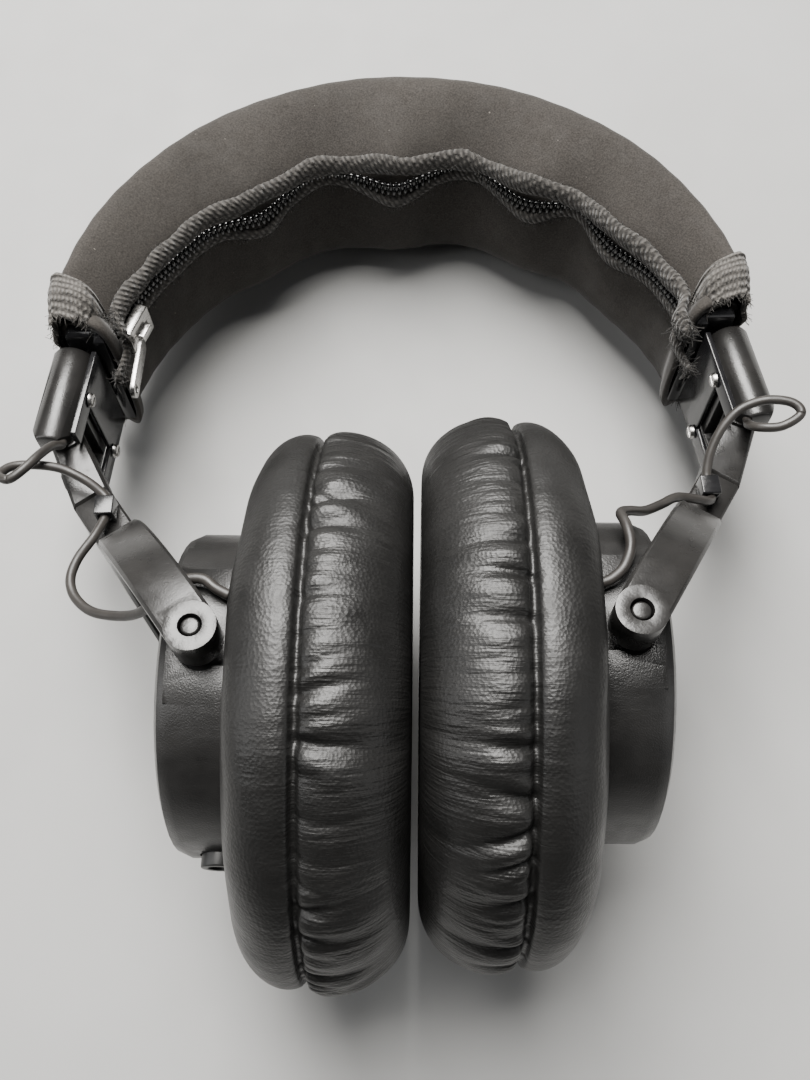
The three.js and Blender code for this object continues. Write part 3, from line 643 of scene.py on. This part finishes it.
TAPE_ROWS, TAPE_COLUMNS = 520, 24
TAPE_RADIUS = 65    # of the arch, for lengths along the tapes
LUMP_WAVES = 7


def lumps(angle, seed, pitch):
    """Smooth irregular waves along the arch, about one unit high, with their pitch in millimetres."""
    rng = random.Random(seed)
    total = 0 * angle
    for _ in range(LUMP_WAVES):
        turns = rng.uniform(0.5, 1.6) * 2 * math.pi * TAPE_RADIUS / pitch
        total = total + np.sin(angle * turns + rng.uniform(0, 6.3))
    return total / 2.6


def add_tape(name, node, centre, half, follow, lift, ends, seed):
    """A woven strip along the inside of the arch, with a rounded, lumpy section and closed ends.

    Its centre and half size are given along the radius and out of the band's plane. It follows the
    puckers by a share of their height, lifts by a share of that, and stops short of either end.
    """
    rows, columns = TAPE_ROWS, TAPE_COLUMNS
    first, last = (math.radians(end) for end in ends)
    angle = np.linspace(math.pi - first, last, rows)[:, None]
    around = np.linspace(0, 2 * math.pi, columns, endpoint=False)[None, :]
    from_end = np.minimum(math.pi - first - angle, angle - last)
    taper = 0.6 + 0.4 * smoothstep(from_end, 0, 0.02)
    wave = follow * pucker(angle) - HEM["draw"] * hem(angle)
    ribs = 1 + 0.03 * np.sin(angle * 330 + 1.5 * np.sin(angle * 31) + 2 * around)
    thick = ribs * taper * (1 + 0.09 * lumps(angle, seed, 14) + 0.03 * lumps(angle, seed + 1, 3.1))
    drift = 0.3 * lumps(angle, seed + 2, 22)
    r = centre[0] + wave + 0.5 * drift + half[0] * thick * np.cos(around)
    z = centre[1] + lift * follow * pucker(angle) + drift + half[1] * thick * np.sin(around)
    points = arch_points(angle + 0 * around, r, z).reshape(-1, 3)
    total = rows * columns
    faces = grid_faces(rows, columns) + tip_faces(columns, total - columns, total)
    tips = [points[:columns].mean(0), points[-columns:].mean(0)]
    tape = new_piece(name, np.vstack([points, tips]), faces, TO_ROW, MATERIALS["woven_tape"])

    def uv_of(co):
        local = to_local(TO_ROW, co)
        turn = np.arctan2(local[:, 1] - COVER_INNER["y"], local[:, 0])
        return turn * TAPE_RADIUS * MM, local[:, 2] * MM, None, None

    set_uv(tape, uv_of)
    finish_on_band(tape, "woven_tape", node)
    return points.reshape(rows, columns, 3)


def add_fuzz(name, surface, columns, count, aim, length, seed):
    """Loose fibres along some of a tape's lengthwise lines."""
    rng = random.Random(seed)
    starts = []
    for _ in range(count):
        line = surface[:, rng.choice(columns)]
        starts.append(line[rng.randrange(len(line))])
    points, faces = joined(fibres(rng, starts, aim, length, 0.055))
    hair = new_piece(name, points, faces, TO_ROW, MATERIALS["woven_tape"])
    finish_on_band(hair, "woven_tape")


def fibres(rng, starts, aim, length, radius=0.07):
    """Short curved hairs, each a thin closed tube."""
    parts = []
    for start in starts:
        way = np.array(aim) + np.array([rng.uniform(-0.8, 0.8) for _ in range(3)])
        way /= np.linalg.norm(way)
        bend = np.array([rng.uniform(-0.5, 0.5) for _ in range(3)])
        size = length * rng.uniform(0.4, 1.0)
        path = np.array([start + way * size * s + bend * size * s * s for s in (0, 0.35, 0.7, 1.0)])
        parts.append(tube_points(path, unit_tangents(path), radius, 3))
    return parts


def bead(size, matrix):
    """A small rounded tooth: a coarse ball stretched to size."""
    sides, tips = 8, (0.6, 1.2, 1.95, 2.55)
    turns = np.linspace(0, 2 * math.pi, sides, endpoint=False)
    rings = [(math.sin(tip), math.cos(tip)) for tip in tips]
    points = [(r * math.cos(a), r * math.sin(a), h) for r, h in rings for a in turns]
    points = np.array(points + [(0, 0, 1), (0, 0, -1)]) * np.array(size)
    total = len(tips) * sides
    faces = grid_faces(len(tips), sides) + tip_faces(sides, total - sides, total)
    return points @ matrix.T[:3, :3] + matrix[:3, 3], faces


def add_frayed_ends(surface, name, count, seed):
    """Tufts of loose fibre at both ends of a tape."""
    rng = random.Random(seed)
    starts = []
    for _ in range(count):
        at = rng.randrange(0, 14)
        starts.append(surface[at if rng.random() < 0.4 else -1 - at, rng.randrange(surface.shape[1])])
    points, faces = joined(fibres(rng, starts, (0.0, -0.7, 0.3), 2.4, 0.07))
    hair = new_piece(name, points, faces, TO_ROW, MATERIALS["woven_tape"])
    finish_on_band(hair, "woven_tape")


COIL = {"radius": 66.0, "z": 9.6, "teeth": 230, "end": math.radians(17.5), "tooth": (0.85, 0.62, 1.25),
        "apart": 0.75, "follow": 1.4, "lift": 0.1, "cord_radius": 66.8, "cord": 0.7}


def add_coil():
    """Interlocked teeth along the arch, standing on a narrow cord."""
    parts = []
    end, count = COIL["end"], COIL["teeth"]
    for step in range(count):
        angle = math.pi - end - (math.pi - 2 * end) * step / (count - 1)
        wave = COIL["follow"] * float(pucker(angle))
        radius = COIL["radius"] + wave
        sideways = COIL["apart"] if step % 2 else -COIL["apart"]
        matrix = np.eye(4)
        matrix[:3, 0] = (math.cos(angle), math.sin(angle), 0)
        matrix[:3, 1] = (-math.sin(angle), math.cos(angle), 0)
        matrix[:3, 3] = (radius * math.cos(angle), COVER_INNER["y"] + radius * math.sin(angle),
                         COIL["z"] + COIL["lift"] * wave + sideways)
        parts.append(bead(COIL["tooth"], matrix))
    angle = np.linspace(math.pi - end, end, 200)
    wave = COIL["follow"] * pucker(angle)
    path = arch_points(angle, COIL["cord_radius"] + wave, COIL["z"] + COIL["lift"] * wave)
    parts.append(tube_points(path, unit_tangents(path), COIL["cord"], 8))
    points, faces = joined(parts)
    coil = new_piece("zip_teeth", points, faces, TO_ROW, MATERIALS["zip_plastic"])
    finish_on_band(coil, "zip_plastic", "zipper_coil")


PRESSED_WITHIN, PRESSED_ABOVE = 73, 8  # the foam's front inner edge: below this radius, above this height


def add_bending_copy(node, slot, pressed=0.0):
    """A CAD node under the cover, copied, with its front inner edge pressed in."""
    piece = bpy.data.objects.new(node + "_bending", frame["nodes"][node].data.copy())
    bpy.context.scene.collection.objects.link(piece)
    mesh = piece.data
    local = to_local(TO_ROW, coordinates(mesh))
    inner = np.hypot(local[:, 0], local[:, 1] - COVER_INNER["y"]) < PRESSED_WITHIN
    local[:, 2] -= pressed * (inner & (local[:, 2] > PRESSED_ABOVE))
    set_coordinates(mesh, to_row(TO_ROW, local))
    mesh.materials.clear()
    mesh.materials.append(MATERIALS[slot])
    finish_on_band(piece, slot, node)


add_cover()
upper = add_tape("tape_upper", "zipper_tape_upper", centre=(65.6, 14.4), half=(1.6, 2.5), follow=1.0,
                 lift=-0.35, ends=(14.5, 9.5), seed=3)
lower = add_tape("tape_lower", "zipper_tape_lower", centre=(65.9, 7.6), half=(0.8, 1.6), follow=1.35,
                 lift=0.65, ends=(7.5, 5.0), seed=5)
add_fuzz("tape_fuzz_upper", upper, columns=(0, 4, 8, 12, 16, 20), count=900, aim=(0.0, 0.0, 0.6),
         length=1.1, seed=31)
add_fuzz("tape_fuzz_lower", lower, columns=(17, 18, 19), count=900, aim=(0.0, 0.0, -1.2), length=1.5, seed=37)
add_frayed_ends(upper, "tape_end_upper", count=260, seed=41)
add_frayed_ends(lower, "tape_end_lower", count=200, seed=43)
add_coil()
add_bending_copy("band_foam", "foam", pressed=7.5)
add_bending_copy("spring_band", "spring_steel")

# ------------------------------------------------------------ elastic ends

# the cuff's upper edge: its centre, and half its thickness and its width; and how far its lower edge differs
CUFF_TOP = {"x": 70.6, "y": 84.4, "half": 6.6, "deep": 21.7}
CUFF_DOWN = {"x": 0.4, "y": -8.9, "half": -1.2, "deep": -2.7}
CUFF_SLOPES = (math.radians(27), math.radians(9))  # of the upper edge and the lower one
CUFF_COLUMNS, CUFF_ROWS = 176, 72
CUFF_WALL = 1.0
CUFF_SIDE = 15        # beyond this from the band's plane a point is on the front or the back face
CUFF_LEAN = 0.35      # how far the ribs lean
CUFF_HAIRS = 260


def cuff_surface(t, around, inset):
    """A point of the cuff: t runs from its upper edge to its lower one, around goes round its section."""
    centre_x, centre_y = (CUFF_TOP[axis] + CUFF_DOWN[axis] * t for axis in "xy")
    slope = CUFF_SLOPES[0] * (1 - t) + CUFF_SLOPES[1] * t
    drawn = smoothstep(t, 0.35, 1.0)
    half, deep = (CUFF_TOP[size] + CUFF_DOWN[size] * drawn - inset for size in ("half", "deep"))
    c, s = np.cos(around), np.sin(around)
    across, depth = squared(s, 0.5), squared(c, 0.5)
    folds = 0.45 * drawn * np.sin(around * 17 + 2 * np.sin(around * 3)) * (1 - 0.5 * np.abs(depth) ** 4)
    half, deep = half + folds, deep + folds
    x = centre_x + across * half * np.cos(slope)
    y = centre_y + across * half * np.sin(slope) + 0.35 * drawn * np.sin(around * 23)
    return np.stack([x, y, depth * deep], -1)


def add_elastic(side, k):
    """The knitted cuff round the end of the cover, ribbed along its length, with frayed edges."""
    columns, along = CUFF_COLUMNS, CUFF_ROWS
    around = np.linspace(0, 2 * math.pi, columns, endpoint=False)
    rng = random.Random(17 + k)
    t = np.linspace(0, 1, along)
    ribs = 0.16 * np.abs(np.sin(t * math.pi * 6)) + 0.25 * (np.exp(-((t - 0.1) / 0.03) ** 2))
    slack = np.array([rng.uniform(-0.12, 0.12) for _ in range(columns)])
    outside = [cuff_surface(value, around, -rise + slack * value) for value, rise in zip(t, ribs)]
    inside = [cuff_surface(value, around, CUFF_WALL) for value in t[::-1]]
    points = np.vstack(outside + inside)
    faces = grid_faces(2 * along, columns, wrap_rows=True)
    cuff = new_piece("elastic_" + side, points, faces, side_matrix(k), MATERIALS["elastic"])

    def uv_of(co):
        own = to_local(side_matrix(k), co)
        run = np.where(np.abs(own[:, 2]) > CUFF_SIDE, own[:, 0], own[:, 2])
        return (own[:, 1] - CUFF_LEAN * own[:, 0]) * MM, run * MM, None, None

    set_uv(cuff, uv_of)
    body = "headband" if side == "left" else "band_right"
    finish_piece(cuff, body, "elastic", "elastic_end_" + side)
    starts = [cuff_surface(rng.uniform(0.93, 1.0), rng.uniform(0, 6.28), 0.2) for _ in range(CUFF_HAIRS)]
    hairs, hair_faces = joined(fibres(rng, starts, (0.0, -1.0, 0.1), 2.2, 0.06))
    hair = new_piece("frayed_" + side, hairs, hair_faces, side_matrix(k), MATERIALS["elastic"])
    finish_piece(hair, body, "elastic")


for side, k in SIDES.items():
    add_elastic(side, k)

# ------------------------------------------------------------ ear pads

PAD_CENTRE_Y = -3.0
PAD_SHARE = 0.873     # its size from front to back over its height
SEAM_X = 18.2
PAD_MEAN = 50         # roughly its outer radius, for lengths round it
PAD_CORE = (16, 40)   # the middle of its section: x, and distance from the centre line
# section of the pad: distance from its centre line, and x, from the back of the opening round to the back
PAD_SECTION = [
    (28.2, 25.1), (28.2, 18), (28.3, 11), (29.4, 6), (32.2, 2.6), (36.5, 0.9), (41, 0.6), (45.4, 1.7),
    (49.0, 4.4), (51.5, 8.2), (52.7, 12.2), (52.6, 15.4), (51.9, 17.0), (50.9, SEAM_X), (51.7, 19.3),
    (52.2, 21.2), (51.6, 24.2), (49.4, 27.2), (45.6, 29.6), (40.6, 30.9), (35, 31.0), (31.5, 30.9),
    (31.3, 28.8), (30.0, 27.0),
]
PAD_PINNED = (0, 13, 19, 20, 21, 22, 23)  # its points that are sewn or rest on the cup
SEAM = PAD_PINNED[1]  # the seam's point
PAD_ROUND = 160       # sections round the pad
PAD_SWELL = 1.2       # how far the cloth may move a point
SWELL_FRAMES = 20
PAD_FACE = 0.22       # the pads' front faces stay this far from the middle
PAD_SEEDS = {"left": 11, "right": 23}
TURN_LENGTH = 14      # millimetres of UV for one radian round the pad's section


def pad_share(radius):
    """The pad is narrower from front to back, but its inner lip is a true circle."""
    return 1 - (1 - PAD_SHARE) * smoothstep(radius, 31.5, 38)


def pad_grid():
    """The pad's section, swept round its oval."""
    theta = np.linspace(0, 2 * math.pi, PAD_ROUND, endpoint=False)
    points = []
    for angle in theta:
        for index, (radius, x) in enumerate(PAD_SECTION):
            share = pad_share(radius) if index > SEAM else PAD_SHARE
            points.append((x, PAD_CENTRE_Y + radius * math.cos(angle), radius * share * math.sin(angle)))
    return np.array(points)


def swell(piece, rest, pinned):
    """Inflates the pad's skin with a short cloth simulation, no point by more than PAD_SWELL."""
    group = piece.vertex_groups.new(name="sewn")
    group.add(pinned, 1.0, "REPLACE")
    cloth = piece.modifiers.new("cloth", "CLOTH")
    settings = cloth.settings
    settings.vertex_group_mass = "sewn"
    settings.use_pressure = True
    settings.uniform_pressure_force = 4
    settings.effector_weights.gravity = 0
    scene = bpy.context.scene
    for number in range(1, SWELL_FRAMES + 1):
        scene.frame_set(number)
    mesh = apply_modifiers(piece)
    scene.frame_set(1)
    moved = coordinates(mesh) - rest
    length = np.linalg.norm(moved, axis=1, keepdims=True)
    set_coordinates(mesh, rest + moved * np.minimum(1, PAD_SWELL * MM / np.maximum(length, 1e-9)))
    piece.vertex_groups.clear()


# ranges of the creases at the seam: their depth, their half width and how far they reach to the front,
# for deep ones and shallow ones; then, for both, their reach to the back, slant, and angle to the next
DEEP_CREASE = ((0.7, 1.35), (0.6, 0.95), (7, 13))
SHALLOW_CREASE = ((0.2, 0.5), (0.5, 0.8), (4, 10))
DEEP_CREASES = 0.45
CREASE_BACK, CREASE_SLANT, CREASE_APART = (0.6, 2.0), (-0.3, 0.3), (0.05, 0.14)
SEAM_DEPTH, SEAM_HALF = 1.1, 0.5


def gathers(rng):
    """Creases that run out from the seam: angle, depth, width, reach to the front and to the back, slant."""
    out = []
    angle = 0.0
    while angle < 2 * math.pi - CREASE_APART[0]:
        kind = DEEP_CREASE if rng.random() < DEEP_CREASES else SHALLOW_CREASE
        out.append((angle, *(rng.uniform(*limits) for limits in (*kind, CREASE_BACK, CREASE_SLANT))))
        angle += rng.uniform(*CREASE_APART)
    return out


def pad_relief(local, rng):
    """How far each point of the pad stands out, in millimetres."""
    x, y, z = local.T
    theta = np.arctan2(z / PAD_SHARE, y - PAD_CENTRE_Y)
    radius = np.hypot(z / PAD_SHARE, y - PAD_CENTRE_Y)
    outside = smoothstep(radius, 39, 46)
    ahead, behind = np.maximum(SEAM_X - x, 0), np.maximum(x - SEAM_X, 0)
    relief = -SEAM_DEPTH * np.exp(-((x - SEAM_X) / SEAM_HALF) ** 2) * outside
    creases = np.zeros_like(x)
    for angle, deep, width, front, back, slant in gathers(rng):
        reach = np.where(x < SEAM_X, np.exp(-(ahead / front) ** 2), 0.3 * np.exp(-(behind / back) ** 2))
        reach = reach * (0.45 + 0.55 * smoothstep(ahead, 0, 1.6))
        bent = (theta - angle - slant * ahead / PAD_MEAN + math.pi) % (2 * math.pi) - math.pi
        gap = np.abs(bent) * PAD_MEAN
        spread = width * (1 + 0.11 * ahead)
        creases -= deep * reach * np.exp(-(gap / spread) ** 1.5)
        creases += 0.25 * deep * reach * np.exp(-((gap - 2.8 * spread) / (1.5 * spread)) ** 2)
    relief += np.clip(creases, -2.0, 0.6) * outside
    soft = np.sin(theta * 9 + rng.uniform(0, 6)) * np.sin(theta * 4.0 + x * 0.12 + rng.uniform(0, 6))
    relief += 0.2 * soft * outside
    fine = np.sin(theta * 97 + 2 * np.sin(x * 0.31)) * np.sin(theta * 41 + x * 0.2)
    relief += 0.07 * fine * outside * smoothstep(x, 1, 6) * smoothstep(-x, -18, -14)
    return relief


def rear_fullness(local):
    """The back of the pad is fullest at mid height, outside the yoke's arms."""
    x, y, z = local.T
    radius = np.hypot(z / PAD_SHARE, y - PAD_CENTRE_Y)
    return 1.3 * np.exp(-((y + 3) / 26) ** 2) * smoothstep(x, 20, 29) * smoothstep(radius, 43.5, 48)


def add_pad(side, k):
    """One ear pad: swelled, rounded, gathered along its seam, and flattened where its front face meets the middle.
    """
    matrix = cup_matrix(k)
    columns = len(PAD_SECTION)
    pad = new_piece("pad_" + side, pad_grid(), grid_faces(PAD_ROUND, columns, wrap_rows=True),
                    matrix, MATERIALS["leatherette"])
    pinned = [r * columns + c for r in range(PAD_ROUND) for c in PAD_PINNED]
    swell(pad, coordinates(pad.data), pinned)
    mesh = subdivide(pad, 2)
    co = coordinates(mesh)
    relief = pad_relief(to_local(matrix, co), random.Random(PAD_SEEDS[side]))
    local = to_local(matrix, co + normals(mesh) * relief[:, None] * MM)
    face = PAD_FACE + 0.1 * np.tanh(local[:, 0] - PAD_FACE)
    local[:, 0] = np.maximum(local[:, 0], face) + rear_fullness(local)
    set_coordinates(mesh, to_row(matrix, local))
    smooth_faces(mesh)
    gathered = mesh.attributes.new("gathered", "FLOAT", "POINT")
    gathered.data.foreach_set("value", 1 - smoothstep(local[:, 0], SEAM_X - 1, SEAM_X + 3))

    def uv_of(points):
        own = to_local(matrix, points)
        y, z = own[:, 1] - PAD_CENTRE_Y, own[:, 2] / PAD_SHARE
        theta = np.arctan2(z, y)
        turn = np.arctan2(own[:, 0] - PAD_CORE[0], np.hypot(y, z) - PAD_CORE[1])
        round_pad, round_section = PAD_MEAN * MM, TURN_LENGTH * MM
        return theta * round_pad, turn * round_section, 2 * math.pi * round_pad, 2 * math.pi * round_section

    set_uv(pad, uv_of)
    finish_piece(pad, "cup_" + side, "leatherette", "ear_pad_" + side)
    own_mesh(pad)


for side, k in SIDES.items():
    add_pad(side, k)

# ------------------------------------------------------------ leads

LEAD_RADIUS = 0.95
LEAD_STEPS, LEAD_SIDES = 8, 16
UPPER_SPLIT = 5   # the point of an upper lead where the neck takes over from the slider
# routes of the leads, drawn for the right side and mirrored for the left
UPPER_LEADS = {
    "left": [(71.7, 50.2, 9.6), (71.6, 48.8, 10.6), (72.3, 46.6, 13.6), (73.6, 43, 16), (75.6, 39.2, 17.2),
             (78.4, 37, 17), (80.8, 38.6, 16), (79.4, 41.4, 14.6), (75.6, 42.4, 13.4), (70.4, 42, 12.4),
             (65.6, 40, 11), (62.4, 37.8, 9.6), (61.2, 36.2, 9.1), (61.2, 33.4, 9.1)],
    "right": [(71.9, 50.2, 9.8), (71.6, 48.8, 10.6), (70.6, 46.6, 13.2), (71.8, 44.4, 15.4), (75.6, 43.5, 17),
              (79.4, 45.5, 18.2), (78, 48, 18.6), (73.2, 49.2, 18), (68.2, 48.2, 16.6), (64.6, 45.3, 14.4),
              (62.4, 41.8, 12), (61.4, 38.6, 10), (61.2, 36.4, 9.1), (61.2, 33.4, 9.1)],
}
LOWER_LEADS = {
    "left": [(61.2, 33.4, 9.1), (61.2, 31.6, 9.3), (62.4, 27.2, 10.4), (64.8, 22, 11.2), (65.6, 17.4, 11.6),
             (64, 13.2, 12.2), (59.8, 9.4, 13.8), (53, 6.8, 17.4), (48, 5.6, 22.4), (45, 6.4, 27.4),
             (41.4, 7.6, 28.9), (38.4, 8.2, 29.4), (36, 7.8, 29.6), (34, 6.2, 29.4), (31.6, 4.8, 29.2)],
    "right": [(61.2, 33.4, 9.1), (61.2, 31.6, 9.3), (59.6, 30.3, 10.9), (56.4, 29.6, 13.2), (52.2, 28.7, 15.6),
              (47.8, 25.4, 18.8), (43.8, 22.7, 21.6), (40.2, 21, 25), (37.8, 19.2, 27.6), (38, 15.6, 29.6),
              (38, 11.2, 30.2), (36.4, 7.4, 30), (34, 5.4, 29.4), (31.6, 4.6, 29.2)],
}


def add_lead(name, points, k, first, last, bodies, nodes):
    """A stretch of lead between two of its route's points."""
    path, tangents = smooth_path(points, (len(points) - 1) * LEAD_STEPS + 1)
    stretch = slice(first * LEAD_STEPS, last * LEAD_STEPS + 1)
    path, tangents = path[stretch], tangents[stretch]
    tube, faces = tube_points(path, tangents, LEAD_RADIUS, LEAD_SIDES)
    piece = new_piece(name, tube, faces, side_matrix(k), MATERIALS["lead_rubber"])
    start, end = row(k * path[0][0], *path[0][1:]), row(k * path[-1][0], *path[-1][1:])
    finish_blend(piece, bodies, start, end, "lead_rubber", *nodes)


for side, k in SIDES.items():
    upper, lower = UPPER_LEADS[side], LOWER_LEADS[side]
    slider, neck, yoke, cup = (body + side for body in ("slider_", "neck_", "yoke_", "cup_"))
    add_lead("lead_out_" + side, upper, k, 0, UPPER_SPLIT, (slider, neck), ["lead_upper_" + side])
    add_lead("lead_in_" + side, upper, k, UPPER_SPLIT, len(upper) - 1, (neck, yoke), [])
    add_lead("lead_cup_" + side, lower, k, 0, len(lower) - 1, (yoke, cup), ["lead_lower_" + side])

# ------------------------------------------------------------ hard parts

SHARP_EDGE = math.radians(35)
WELD_WITHIN = 1e-6    # metres
# width of each part's rounded edges, in metres
BEVELS = {"hinge_block": 0.0009, "yoke": 0.00035, "neck_knuckle": 0.0005, "cable_clip": 0.0005,
          "cup_housing": 0.0004, "cup_cap": 0.0004, "hinge_plate": 0.0003, "band_end_housing": 0.0005,
          "zipper_slider": 0.0005, "zipper_pull": 0.0002, "cable_socket": 0.0003, "pivot_pin_front": 0.0004,
          "pivot_pin_rear": 0.0004, "hinge_screw_front": 0.00015, "hinge_screw_rear": 0.00015}


def dress_cad_nodes():
    """Gives every CAD node its material, smooth shading and softened edges."""
    for name, node in frame["nodes"].items():
        base = name.removesuffix("_left").removesuffix("_right")
        node.data.materials.clear()
        node.data.materials.append(MATERIALS[slot_of[name]])
        weld = node.modifiers.new("weld", "WELD")
        weld.merge_threshold = WELD_WITHIN
        if base in BEVELS:
            bevel = node.modifiers.new("bevel", "BEVEL")
            bevel.width = BEVELS[base]
            bevel.segments = 3
            bevel.limit_method = "ANGLE"
            bevel.angle_limit = SHARP_EDGE
            bevel.harden_normals = True
        smooth_faces(node.data)
        node.data.set_sharp_from_angle(angle=SHARP_EDGE)


dress_cad_nodes()

# ------------------------------------------------------------ floor and light, in metres and watts

FLOOR_HALF, FLOOR_Z = 1.5, -0.0004


def add_floor():
    half = FLOOR_HALF
    corners = [(-half, -half, 0), (half, -half, 0), (half, half, 0), (-half, half, 0)]
    mesh = bpy.data.meshes.new("floor")
    mesh.from_pydata(corners, [], [(0, 1, 2, 3)])
    floor = bpy.data.objects.new("floor", mesh)
    floor.location.z = FLOOR_Z
    mesh.materials.append(pale_floor())
    bpy.context.scene.collection.objects.link(floor)


def add_light(name, place, size, power, colour=(1, 1, 1)):
    """A soft rectangular lamp, turned to the middle of the floor."""
    data = bpy.data.lights.new(name, "AREA")
    data.shape = "RECTANGLE"
    data.size, data.size_y = size
    data.energy = power
    data.color = colour
    light = bpy.data.objects.new(name, data)
    light.location = place
    light.rotation_euler = (-Vector(place)).to_track_quat("-Z", "Y").to_euler()
    bpy.context.scene.collection.objects.link(light)


add_floor()
add_light("key", (-0.1, 0.42, 0.78), size=(0.42, 0.75), power=34.0, colour=(1.0, 0.98, 0.95))
add_light("window", (-0.75, -0.1, 0.6), size=(0.35, 0.8), power=3.0)
add_light("fill", (0.8, -0.4, 0.5), size=(0.6, 0.6), power=1.2)
world = bpy.data.worlds.new("studio")
world.use_nodes = True
world.node_tree.nodes["Background"].inputs["Color"].default_value = (0.9, 0.92, 0.95, 1)
world.node_tree.nodes["Background"].inputs["Strength"].default_value = 0.045
bpy.context.scene.world = world
